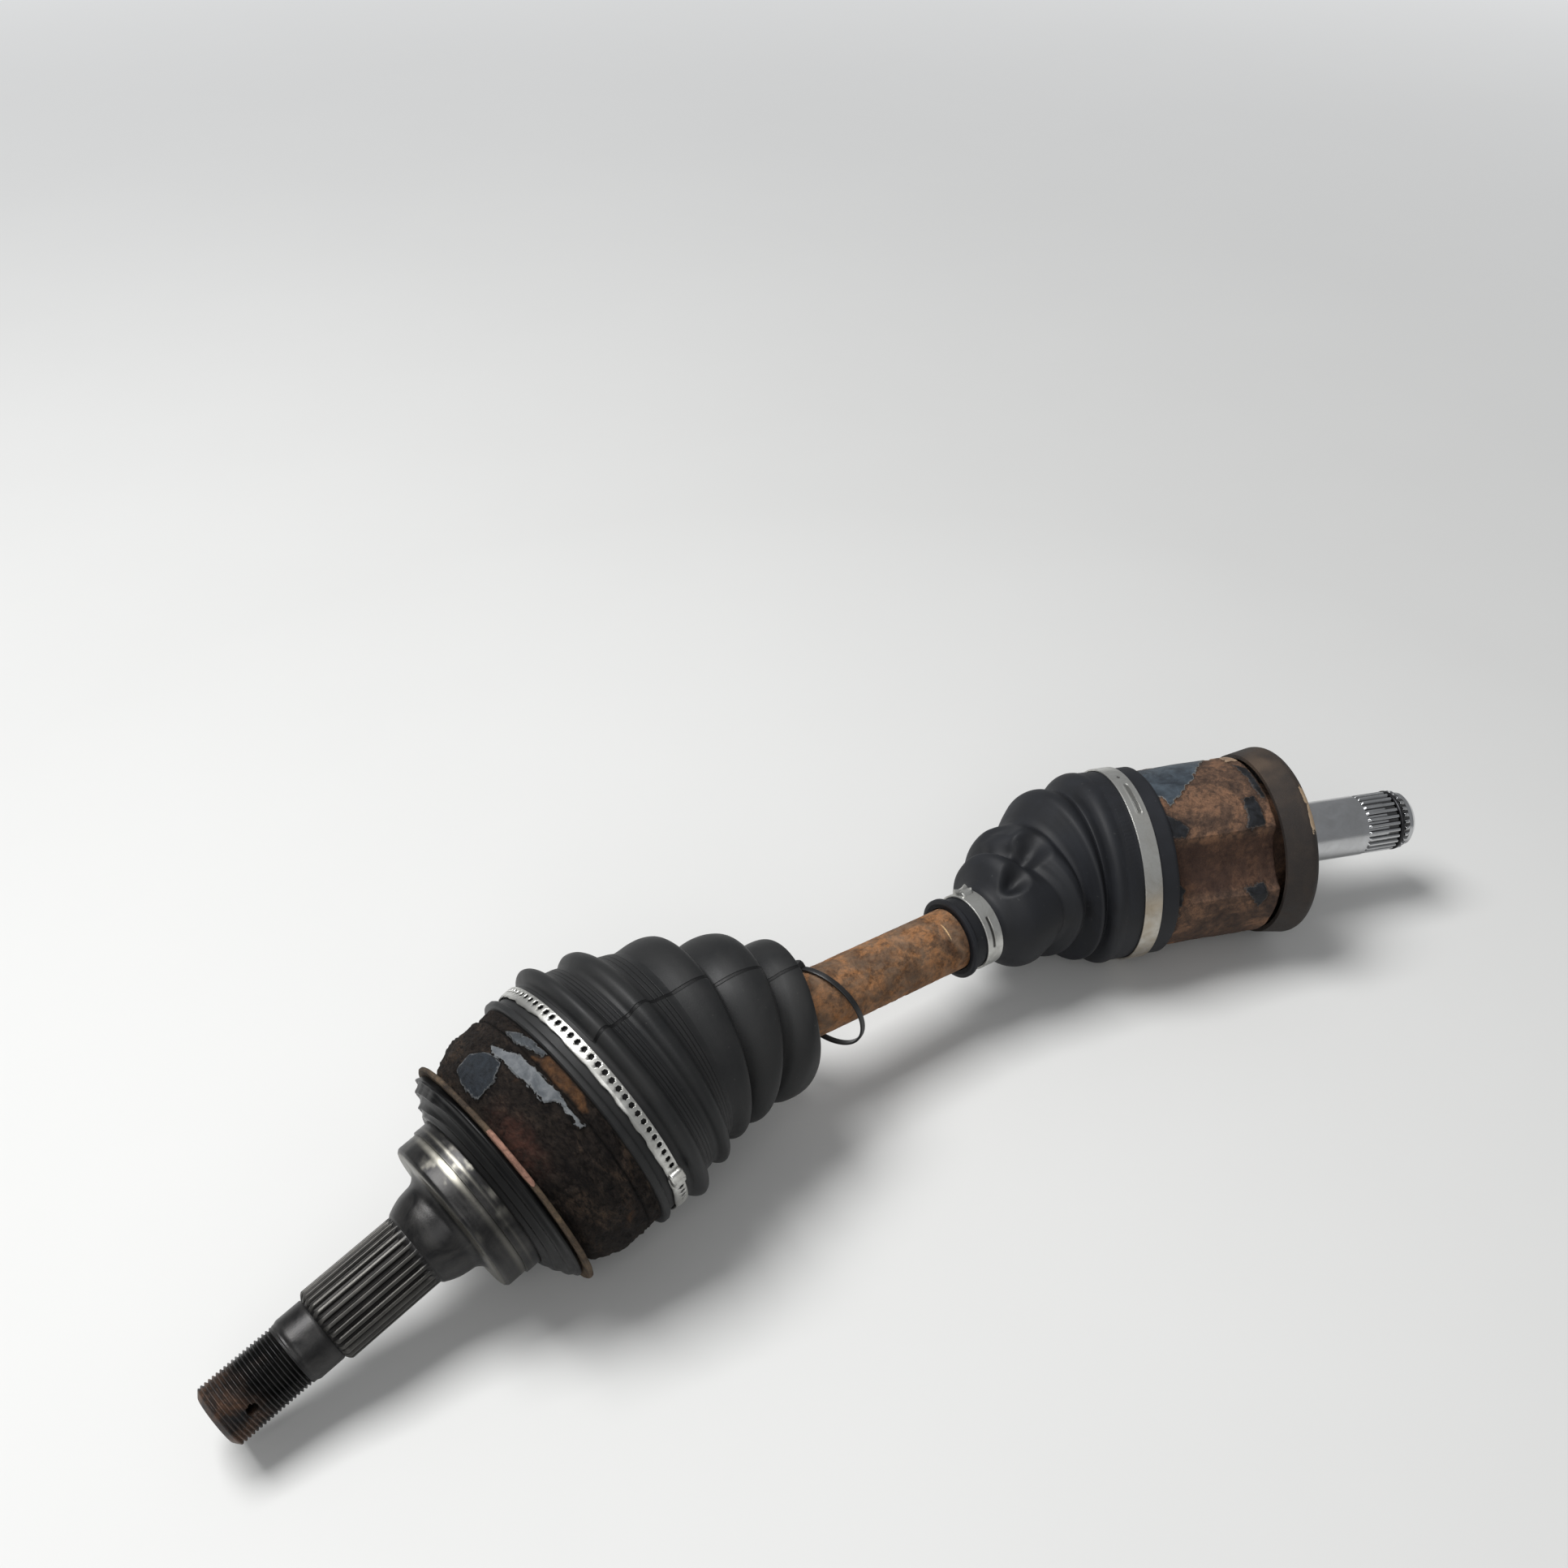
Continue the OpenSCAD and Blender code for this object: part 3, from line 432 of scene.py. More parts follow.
def flake_group():
    """Flake of paint from the millimetres inside its edge: noise pushes the edge, and a dark ring of painted
    shadow lies just outside it.
    """
    t, given, out = new_group("Paint flake", [
        ("Vector", VECTOR, (0, 0, 0)), ("Distance", FLOAT, 0.0), ("Ragged", FLOAT, 2.0)], [
        ("Mask", FLOAT), ("Shadow halo", FLOAT), ("Edge", FLOAT)])
    g = given.outputs
    push = t.math("SUBTRACT", t.noise(g["Vector"], 380.0, 6.0, 0.68, 0.4), 0.5)
    inner = t.math("ADD", g["Distance"], t.math("MULTIPLY", push, g["Ragged"]))
    mask = t.ramp(inner, -0.06, 0.14)
    t.tree.links.new(mask, out.inputs["Mask"])
    # painted shadow: a dark ring just outside the edge
    t.tree.links.new(t.math("SUBTRACT", t.ramp(inner, -1.0, -0.1), mask), out.inputs["Shadow halo"])
    t.tree.links.new(t.math("MULTIPLY", mask, t.ramp(inner, 0.15, 0.7, 1.0, 0.0)), out.inputs["Edge"])
    return t.tree


class Finish:
    """A material with a Principled shader and quick access to its tree."""

    def __init__(self, name, metallic=0.0, roughness=0.5, specular=0.5, coat=0.0, coat_roughness=0.2):
        self.material = bpy.data.materials.new(name)
        self.material.use_nodes = True
        self.t = Tree(self.material.node_tree)
        self.shader = self.material.node_tree.nodes["Principled BSDF"]
        self.shader.inputs["Metallic"].default_value = metallic
        self.shader.inputs["Roughness"].default_value = roughness
        self.shader.inputs["Specular IOR Level"].default_value = specular
        self.shader.inputs["Coat Weight"].default_value = coat
        self.shader.inputs["Coat Roughness"].default_value = coat_roughness

    def group(self, tree, inputs):
        node = self.t.add("ShaderNodeGroup", node_tree=tree)
        for key, value in inputs.items():
            if isinstance(value, bpy.types.NodeSocket):
                self.t.tree.links.new(value, node.inputs[key])
            else:
                node.inputs[key].default_value = value
        return node.outputs

    def set(self, socket, value):
        self.t.tree.links.new(value, self.shader.inputs[socket])

    def height(self, value, distance, strength=1.0):
        node = self.t.add("ShaderNodeBump", {"Height": value, "Distance": distance, "Strength": strength})
        self.set("Normal", node.outputs["Normal"])


def oiled_finish(c, rust, film):
    """Oiled dark steel: smudged, with painted shade in the grooves, bright where it rubs and where highlights and
    a reflection are painted, rusty at the tip.
    """
    f = Finish("Oiled dark steel", metallic=0.75, specular=0.5)
    p = f.t.place()
    g = f.group(film, {"Vector": p, "Smudge scale": 90.0, "Grain scale": 1500.0})
    r = f.group(rust, {"Vector": p, "Scale": 1.6, "Bright share": 0.7, "Dark": rgba(c.oil_steel),
                       "Brown": rgba(shade(74, 56, 45)), "Bright": rgba(shade(112, 82, 62))})
    tip = f.t.attribute("rusted")
    steel = f.t.mix(g["Smudge"], rgba(c.oil_steel), rgba(c.worn_steel))
    # painted shade where the groove attribute is set: thread roots, the cotter hole, between teeth
    steel = f.t.mix(f.t.attribute("groove"), steel, rgba(shade(20, 19, 18)))
    steel = f.t.mix(tip, steel, r["Color"])
    # painted highlights and reflection from the bright attribute, mixed with rubbed patches
    f.set("Base Color", f.t.mix(f.t.attribute("bright"), steel, rgba(shade(206, 202, 188))))
    dull = f.t.math("MULTIPLY", tip, 0.25)
    f.set("Roughness", f.t.math("ADD", f.t.ramp(g["Smudge"], 0, 1, 0.3, 0.46), dull))
    f.set("Metallic", f.t.ramp(tip, 0, 1, 0.8, 0.15))
    pits = f.t.math("MULTIPLY", r["Height"], tip)
    f.height(f.t.math("ADD", f.t.math("MULTIPLY", g["Grain"], 0.5), pits), 0.0002, 0.5)
    return f.material


def flaked(f, flake, smudge, colour, edge, shadow_weight, shadow, layers):
    """Flakes of old paint over a colour, layer by layer, each with painted shadow just outside its edge: the new
    colour, and the share that paint covers.
    """
    p, cover = f.t.place(), None
    for name, ragged, low, high, rim in layers:
        k = f.group(flake, {"Vector": p, "Distance": f.t.attribute(name), "Ragged": ragged})
        paint = f.t.mix(smudge, rgba(low), rgba(high))
        paint = f.t.mix(f.t.math("MULTIPLY", k["Edge"], edge), paint, rgba(rim))
        colour = f.t.mix(f.t.math("MULTIPLY", k["Shadow halo"], shadow_weight), colour, rgba(shadow))
        colour = f.t.mix(k["Mask"], colour, paint)
        cover = f.t.math("MAXIMUM", cover, k["Mask"]) if cover else k["Mask"]
    return colour, cover


def bell_finish(c, rust, film, flake):
    """Rusted bell: layered rust with orange and reddish stains, a dark seam and flakes of paint."""
    f = Finish("Rusted bell", specular=0.14)
    p, q = f.t.place(), f.t.layered(BELL_AXES, 0.42)
    r = f.group(rust, {"Vector": q, "Scale": 0.8, "Bright share": 0.5, "Crevice shade": 0.75,
                       "Dark": rgba(c.bell_dark), "Brown": rgba(c.bell_brown), "Bright": rgba(c.bell_bright)})
    g = f.group(film, {"Vector": p, "Smudge scale": 240.0, "Grain scale": 2600.0})
    orange = f.t.mix(g["Smudge"], rgba(shade(118, 84, 56)), rgba(shade(70, 54, 44)))
    colour = f.t.mix(f.t.attribute("orange"), r["Color"], orange)
    reddish = f.t.mix(g["Smudge"], rgba(shade(96, 62, 52)), r["Color"])
    colour = f.t.mix(f.t.attribute("reddish"), colour, reddish)
    colour = f.t.mix(f.t.attribute("seam"), colour, rgba(shade(16, 14, 13)))
    rim = shade(132, 134, 134)
    colour, cover = flaked(f, flake, g["Smudge"], colour, 0.5, 0.75, shade(14, 12, 11), (
        ("blue", 3.6, c.flake_blue, shade(28, 30, 33), rim),
        ("strip", 6.0, shade(80, 84, 88), shade(40, 42, 44), rim),
        ("grey", 5.0, c.flake_grey, shade(84, 88, 92), rim)))
    f.set("Base Color", colour)
    f.set("Roughness", f.t.mix(cover, r["Roughness"], rgba((0.5, 0.5, 0.5))))
    bare = f.t.math("MULTIPLY", r["Height"], f.t.ramp(cover, 0, 1, 1.0, 0.35))
    f.height(f.t.math("ADD", bare, f.t.math("MULTIPLY", cover, 0.35)), 0.0034, 1.0)
    return f.material


def flange_finish(c, rust, film, flake):
    """Rusted flange sheet: brown rust with a salmon patch."""
    f = Finish("Rusted flange sheet", specular=0.15)
    p = f.t.place()
    r = f.group(rust, {"Vector": p, "Scale": 1.6, "Bright share": 0.5, "Dark": rgba(shade(46, 40, 35)),
                       "Brown": rgba(shade(94, 80, 65)), "Bright": rgba(shade(118, 100, 78))})
    g = f.group(film, {"Vector": p, "Smudge scale": 420.0, "Grain scale": 2600.0})
    salmon = f.t.mix(g["Smudge"], rgba(c.flange_salmon), rgba(shade(112, 84, 72)))
    k = f.group(flake, {"Vector": p, "Distance": f.t.attribute("salmon"), "Ragged": 3.0})
    f.set("Base Color", f.t.mix(k["Mask"], r["Color"], salmon))
    f.set("Roughness", r["Roughness"])
    f.height(f.t.math("ADD", r["Height"], k["Mask"]), 0.0008, 0.9)
    return f.material


def smudged_finish(film, label, specular, scales, low, high, dullness, grain):
    """Plain dark surface: two tones and two roughnesses mixed by smudges, with a fine grain."""
    f = Finish(label, specular=specular)
    p = f.t.place()
    g = f.group(film, {"Vector": p, "Smudge scale": scales[0], "Grain scale": scales[1]})
    f.set("Base Color", f.t.mix(g["Smudge"], rgba(low), rgba(high)))
    f.set("Roughness", f.t.ramp(g["Smudge"], 0, 1, *dullness))
    f.height(g["Grain"], 0.0001, grain)
    return f.material


def boot_finish(c, film):
    """Boot rubber: charcoal with dust and specks, a dark mould line and fine scored lines on the flats."""
    f = Finish("Boot rubber", specular=0.26)
    p = f.t.place()
    g = f.group(film, {"Vector": p, "Smudge scale": 34.0, "Grain scale": 1500.0})
    line = f.t.ramp(f.t.math("ABSOLUTE", f.t.attribute("mould")), 0.5, 0.85, 1.0, 0.0)
    rubber = f.t.mix(g["Smudge"], rgba(c.boot_rubber), rgba(c.boot_dust))
    rubber = f.t.mix(f.t.math("MULTIPLY", g["Specks"], 0.12), rubber, rgba(shade(120, 118, 112)))
    wave = f.t.math("SINE", f.t.math("MULTIPLY", f.t.attribute("station"), TAU / 1.5))
    scored = f.t.math("MULTIPLY", f.t.ramp(wave, 0.6, 0.92), f.t.attribute("flat"))
    dark = f.t.math("MAXIMUM", line, f.t.math("MULTIPLY", scored, 0.9))
    f.set("Base Color", f.t.mix(dark, rubber, rgba(shade(10, 10, 11))))
    f.set("Roughness", f.t.ramp(g["Smudge"], 0, 1, 0.46, 0.62))
    f.height(f.t.math("SUBTRACT", f.t.math("MULTIPLY", g["Grain"], 0.2), dark), 0.0003, 0.8)
    return f.material


def gear_boot_finish(c, film):
    """Soft black rubber: bluish black with specks and a row of ticks by the lip."""
    f = Finish("Soft black rubber", specular=0.3)
    p = f.t.place()
    g = f.group(film, {"Vector": p, "Smudge scale": 28.0, "Grain scale": 1300.0})
    rubber = f.t.mix(g["Smudge"], rgba(c.gear_rubber), rgba(shade(30, 32, 37)))
    f.set("Base Color", f.t.mix(f.t.math("MULTIPLY", g["Specks"], 0.15), rubber, rgba(shade(120, 120, 118))))
    f.set("Roughness", f.t.ramp(g["Smudge"], 0, 1, 0.54, 0.68))
    ticks = f.t.attribute("lines")
    f.height(f.t.math("ADD", f.t.math("MULTIPLY", g["Grain"], 0.15), ticks), 0.0003, 0.7)
    return f.material


def bright_finish(film, label, low, high, metallic, dullness):
    """Bright steel: smudged, with painted shade in its grooves, slots and holes, and yellowed where it has rusted.
    """
    f = Finish(label, metallic=metallic)
    p = f.t.place()
    g = f.group(film, {"Vector": p, "Smudge scale": 150.0, "Grain scale": 2200.0})
    steel = f.t.mix(f.t.math("MULTIPLY", g["Smudge"], 0.6), rgba(low), rgba(high))
    # painted shade where the groove attribute is set
    steel = f.t.mix(f.t.attribute("groove"), steel, rgba(shade(38, 36, 34)))
    f.set("Base Color", f.t.mix(f.t.attribute("rusted"), steel, rgba(shade(142, 118, 78))))
    f.set("Roughness", f.t.ramp(g["Smudge"], 0, 1, *dullness))
    f.height(g["Grain"], 0.0001, 0.35)
    return f.material


def bar_finish(c, rust, film):
    """Rusted bar: bright rust mottled with grey, and a fresh scratch."""
    f = Finish("Rusted bar", specular=0.14)
    p = f.t.place()
    r = f.group(rust, {"Vector": p, "Scale": 1.15, "Bright share": 0.72, "Crevice shade": 0.35,
                       "Dark": rgba(c.bar_dark), "Brown": rgba(c.bar_brown), "Bright": rgba(c.bar_bright)})
    g = f.group(film, {"Vector": p, "Smudge scale": 130.0, "Grain scale": 2200.0})
    colour = f.t.mix(f.t.math("MULTIPLY", g["Smudge"], 0.55), r["Color"], rgba(c.bar_grey))
    torn = f.t.math("ADD", f.t.attribute("scratch"), f.t.math("MULTIPLY", g["Grain"], 0.6))
    f.set("Base Color", f.t.mix(f.t.ramp(torn, 0.85, 1.15), colour, rgba(shade(206, 172, 128))))
    f.set("Roughness", r["Roughness"])
    f.height(r["Height"], 0.0009, 0.8)
    return f.material


def housing_finish(c, rust, film, flake):
    """Rusted housing: brown rust, darker in the hollows, with flakes of black, blue and tan paint."""
    f = Finish("Rusted housing", specular=0.16)
    p = f.t.place()
    r = f.group(rust, {"Vector": p, "Scale": 0.9, "Bright share": 0.62, "Crevice shade": 0.3,
                       "Dark": rgba(c.house_dark), "Brown": rgba(c.house_brown),
                       "Bright": rgba(c.house_bright)})
    g = f.group(film, {"Vector": p, "Smudge scale": 160.0, "Grain scale": 2400.0})
    hollow = f.t.mix(0.6, r["Color"], rgba(shade(52, 36, 31)))
    colour = f.t.mix(f.t.attribute("shadowed"), r["Color"], hollow)
    colour, cover = flaked(f, flake, g["Smudge"], colour, 0.55, 0.6, shade(30, 22, 18), (
        ("black", 5.5, shade(22, 22, 23), shade(42, 44, 48), shade(92, 84, 78)),
        ("blue", 5.0, shade(70, 79, 87), c.flake_blue, shade(150, 146, 138)),
        ("tan", 5.0, shade(150, 124, 100), shade(118, 96, 78), shade(168, 148, 124))))
    f.set("Base Color", colour)
    f.set("Roughness", f.t.mix(cover, r["Roughness"], rgba((0.48, 0.48, 0.48))))
    bare = f.t.math("MULTIPLY", r["Height"], f.t.ramp(cover, 0, 1, 1.0, 0.3))
    f.height(f.t.math("ADD", bare, f.t.math("MULTIPLY", cover, 0.4)), 0.001, 0.9)
    return f.material


def cover_finish(c, rust, film, flake):
    """Dusty cover sheet: charcoal with thin rust, dust and painted light on top, and a pale residue."""
    f = Finish("Dusty cover sheet", specular=0.2)
    p = f.t.place()
    g = f.group(film, {"Vector": p, "Smudge scale": 70.0, "Grain scale": 1500.0})
    r = f.group(rust, {"Vector": p, "Scale": 1.1, "Bright share": 0.25, "Dark": rgba(c.cover_dark),
                       "Brown": rgba(shade(62, 54, 48)), "Bright": rgba(shade(104, 84, 68))})
    colour = f.t.mix(g["Smudge"], rgba(c.cover_dark), r["Color"])
    colour = f.t.mix(f.t.attribute("dust_and_top_light"), colour, rgba(shade(92, 78, 66)))
    k = f.group(flake, {"Vector": p, "Distance": f.t.attribute("residue"), "Ragged": 3.0})
    residue = f.t.mix(g["Smudge"], rgba(shade(186, 166, 140)), rgba(shade(140, 116, 92)))
    f.set("Base Color", f.t.mix(k["Mask"], colour, residue))
    f.set("Roughness", f.t.ramp(g["Smudge"], 0, 1, 0.5, 0.72))
    f.height(f.t.math("ADD", g["Grain"], r["Height"]), 0.0004, 0.6)
    return f.material


def inside_finish(film, label, colour, gloss):
    """Clean steel of the joints' insides: a colour and a darker shade of it, mixed by smudges."""
    f = Finish(label, metallic=0.95)
    p = f.t.place()
    g = f.group(film, {"Vector": p, "Smudge scale": 110.0, "Grain scale": 2200.0})
    f.set("Base Color", f.t.mix(g["Smudge"], rgba(colour), rgba([v * 0.75 for v in colour])))
    f.set("Roughness", f.t.ramp(g["Smudge"], 0, 1, gloss, gloss + 0.16))
    f.height(g["Grain"], 0.0001, 0.4)
    return f.material


def build_finishes(c):
    """All materials of the axle by name, from the colours of a property group."""
    rust, film, flake = rust_group(), film_group(), flake_group()
    return {
        "oiled": oiled_finish(c, rust, film),
        "bell": bell_finish(c, rust, film, flake),
        "flange": flange_finish(c, rust, film, flake),
        "seal": smudged_finish(film, "Seal rubber", 0.14, (120.0, 1700.0), shade(8, 8, 9), shade(18, 18, 18),
                               (0.28, 0.42), 0.3),
        "boot": boot_finish(c, film),
        "gear_boot": gear_boot_finish(c, film),
        "band": bright_finish(film, "Band steel", c.band_steel, shade(150, 148, 142), 0.9, (0.28, 0.44)),
        "journal": bright_finish(film, "Ground journal", c.bright_steel, shade(176, 176, 176), 1.0, (0.1, 0.2)),
        "tie": smudged_finish(film, "Tie nylon", 0.5, (200.0, 2400.0), shade(16, 16, 17), shade(30, 30, 31),
                              (0.3, 0.45), 0.4),
        "bar": bar_finish(c, rust, film),
        "housing": housing_finish(c, rust, film, flake),
        "cover": cover_finish(c, rust, film, flake),
        "bearing": inside_finish(film, "Bearing steel", shade(176, 178, 180), 0.22),
        "wire": inside_finish(film, "Spring wire", shade(58, 58, 60), 0.36),
    }


# Pieces of the wheel end

def thread_piece(s):
    """Thread and neck: the radius drops by the thread's depth times a triangle wave of station over pitch minus
    turns, faded at both ends, and a round well is sunk where the cotter pin hole is."""
    pitch, depth = s.thread_pitch / MM, s.thread_depth / MM
    profile = np.concatenate([
        spread([[TIP_Z + 1.8, 0.2], [TIP_Z + 0.2, 2.6], [TIP_Z, 3.2], [TIP_Z, 9.6], [TIP_Z + 1.6, 11.9]], 0.6),
        spread([[TIP_Z + 1.7, 12.0], [NECK_Z + 0.4, 12.0]], pitch / 12),
        spread([[NECK_Z + 1.0, 12.3], [NECK_Z + 1.6, 12.5], [SPLINE_Z - 0.6, 12.5], [SPLINE_Z, 12.1],
                [SPLINE_Z + 1.5, 11.8]], 0.8)])
    station, radius, angle = lathe(profile, 168)
    turn = station / pitch - angle / TAU
    wave = np.abs(2 * (turn - np.floor(turn)) - 1)
    crest = np.clip(wave * 1.25 - 0.08, 0, 1)
    fade = smooth((station - TIP_Z - 0.8) / 2.0) * smooth((NECK_Z - 0.2 - station) / 1.6)
    radius = radius - depth * (1 - crest) * fade
    hole = np.hypot(station - (TIP_Z + 11.4), angle_gap(angle, np.radians(s.cotter_angle)) * 12)
    back = np.hypot(station - (TIP_Z + 11.4), angle_gap(angle, np.radians(s.cotter_angle - 180)) * 12)
    well = smooth((2.15 - np.minimum(hole, back)) / 0.35)
    radius = radius - 5.5 * well
    grid = on_bell(station, radius, angle)
    worn = smooth((TIP_Z + 20 - station) / 14 + 0.6 * rough(grid, 7.0, 5))
    # groove paints shade at the thread roots and in the cotter hole
    return skin("stub_thread", grid, {"rusted": 0.7 * worn, "groove": (1 - crest) * fade * 0.7 + well,
                                      "bright": np.zeros_like(worn)}, sharp=60)


def hub_spline_piece(s):
    """Hub spline: root plus the tooth height times a flat-topped wave of the angle, bevelled in front."""
    rows = spread([[SPLINE_Z, 0], [SPLINE_Z + 1.6, 1], [BOSS_Z - 2.0, 1], [BOSS_Z + 1.4, 1]], 1.2)
    station, rise, angle = lathe(rows, int(s.hub_teeth) * 14)
    phase = np.cos(angle * s.hub_teeth)
    tooth = smooth((phase + 0.42) / 0.84)
    runout = smooth((BOSS_Z - 0.2 - station) / 2.2)
    root = 12.45 + 0.75 * smooth((station - SPLINE_Z) / 1.2)
    radius = root + (14.45 - root) * rise * np.maximum(tooth, 1 - runout)
    grid = on_bell(station, radius, angle)
    # groove paints shade between the teeth, bright a faint painted highlight on their tops
    return skin("hub_spline", grid, {"rusted": 0 * radius, "groove": (1 - tooth) * runout * 0.85,
                                     "bright": 0.05 * tooth * runout}, sharp=50)


def collar_piece(s):
    """Boss, fillet and stepped collar as one turned outline with fine tool marks on the lands."""
    profile = np.concatenate([
        spread([[BOSS_Z + 0.2, 0.2], [BOSS_Z, 14.6], [BOSS_Z + 0.5, 15.1]], 1.5),
        flowing([[BOSS_Z + 0.7, 15.3], [BOSS_Z + 3.4, 16.6], [BOSS_Z + 6.2, 17.6], [BOSS_Z + 9.4, 18.2],
                 [COLLAR_Z - 3.0, 18.8], [COLLAR_Z - 0.9, 20.8], [COLLAR_Z - 0.15, 23.4],
                 [COLLAR_Z, 26.0]], 0.5),
        spread([[COLLAR_Z, 26.4], [COLLAR_Z, 29.0], [COLLAR_Z + 0.4, 30.2], [COLLAR_Z + 1.4, 31.1],
                [COLLAR_Z + 2.2, 31.2], [COLLAR_Z + 8.9, 31.2], [COLLAR_Z + 9.1, 32.0], [FLANGE_Z - 0.5, 32.1],
                [FLANGE_BACK - 0.2, 32.1], [FLANGE_BACK - 0.2, 0.2]], 0.5)])
    station, radius, angle = lathe(profile, 168)
    lands = smooth((station - COLLAR_Z - 1.5) / 0.6)
    marks = 0.03 * rough(on_bell(station, radius, angle), 3.0, 11)
    radius = np.maximum(radius + (lands * 0.02 * np.sin(station * 9.0) + marks), 0)
    grid = on_bell(station, radius, angle)
    degrees = np.degrees(angle)
    # bright: a painted reflection on the collar's front and painted highlights on the top of the lands, mixed with
    # rubbed patches
    face_reflection = smooth((COLLAR_Z + 0.6 - station) / 0.5) * smooth((radius - 21) / 2.5)
    land = smooth((station - COLLAR_Z - 0.8) / 0.6) * smooth((radius - 30) / 0.6)
    patchy = np.clip(0.75 + 0.6 * rough(grid, 9.0, 23), 0, 1)
    rub_and_highlight = bump(station, COLLAR_Z + 7.8, 1.8) + 0.55 * bump(station, COLLAR_Z + 11.6, 0.8)
    bright = land * (0.95 * rub_and_highlight * patchy * bump(degrees, 180, 40)
                     + 0.4 * smooth(1.8 * rough(grid, 5.0, 29) - 0.1) * bump(degrees, 196, 62)
                     + 0.12 * rub_and_highlight)
    bright = np.clip(bright + 0.24 * face_reflection, 0, 1)
    rusted = np.clip(0.5 * rough(grid, 16.0, 31) - 0.2, 0, 0.25)
    return skin("stub_collar", grid, {"rusted": rusted, "groove": 0 * radius, "bright": bright})


def seal_piece(s):
    """Ridged seal: an outline of rounded ridges, whose outer lip lifts and tears near the top."""
    profile = flowing([[FLANGE_Z - 0.1, 32.3], [-41.5, 32.3], [-41.9, 33.2], [-41.6, 34.4], [-40.6, 36.0],
                       [-39.9, 37.2], [-39.8, 38.2], [-39.2, 38.9], [-38.0, 40.2], [-37.4, 41.2], [-37.3, 42.2],
                       [-36.8, 42.8], [-35.6, 43.7], [-35.1, 44.6], [-34.6, 45.2], [-33.8, 45.2],
                       [FLANGE_Z - 0.12, 44.2]], 0.35)
    station, radius, angle = lathe(profile, 300, (100, 215))
    torn = smooth(1.15 - np.abs(angle_gap(angle, np.radians(142))) / 0.6) * smooth((radius - 33.5) / 3)
    jag = value_noise(np.stack([angle * 9, 0 * angle, 0.3 * radius], -1), 1.0, 3)
    lips = np.maximum(np.cos((radius - 34.2) * TAU / 3.7), 0)
    station = station - torn * lips * (1.5 + 0.3 * jag)
    radius = radius + torn * smooth((radius - 38) / 5) * (1.5 + 0.5 * jag)
    grid = on_bell(station, radius, angle)
    return skin("seal_ring", grid, loop=True)


def flange_piece(s):
    """Dust flange: a thin disc whose rim waves in radius and station by noise of the angle."""
    profile = spread([[FLANGE_Z, 32.2], [FLANGE_Z, 48.4], [FLANGE_Z + 0.5, 49.0], [FLANGE_BACK - 0.4, 49.0],
                      [FLANGE_BACK, 48.5], [FLANGE_BACK, 32.2]], 0.55)
    station, radius, angle = lathe(profile, 360)
    grid = on_bell(station, radius, angle)
    rim = smooth((radius - 44) / 5)
    radius = radius - rim * (0.3 + 0.3 * rough(grid, 12.0, 41)) + 0.1 * rim * rough(grid, 2.0, 43)
    station = station + rim * 0.22 * rough(grid, 20.0, 47)
    grid = on_bell(station, radius, angle)
    degrees = np.degrees(angle)
    salmon = smooth((degrees - 190) / 10) * smooth((232 - degrees) / 10) * smooth(0.55 + rough(grid, 6.0, 53))
    return skin("dust_flange", grid, {"salmon": 4 * salmon - 2}, loop=True)


def bell_radius(z):
    """Outside of the bell: a quarter sine flare from the root to the cylinder."""
    return 41 + 8.3 * np.sin(np.pi / 2 * np.clip((z - FLANGE_BACK) / 17, 0, 1) ** 0.9)


BELL_BLUE = [(-25, 158), (-18.1, 161), (-13.6, 169), (-13.6, 178), (-19.7, 182), (-27.6, 181), (-27.7, 168)]
BELL_GREY = [(-11.5, 166), (-7.4, 181), (-6.7, 193), (-6.4, 205), (-7.2, 214), (-6.8, 221), (-9.2, 221),
             (-8.3, 213), (-8.0, 207), (-12.7, 203), (-12.4, 196), (-12.8, 189), (-12.8, 178), (-13.6, 170)]
BELL_STRIP = [(-4.8, 164), (-1.6, 171), (-0.3, 182), (-0.3, 190), (-1.5, 188), (-3.5, 183), (-5.0, 175)]
BELL_ORANGE = [(-4.8, 185), (0.1, 191), (0.1, 200), (0.1, 211), (-3.3, 217), (-4.7, 208), (-5.0, 196)]


def patch(station, angle, outline, radius):
    """Millimetres inside the edge of a flake whose outline is given as [station, degrees]; at least -4."""
    lengthwise = np.asarray(outline, float) * [1, np.radians(1) * radius]
    return np.maximum(inside(station, angle * radius, lengthwise), -4)


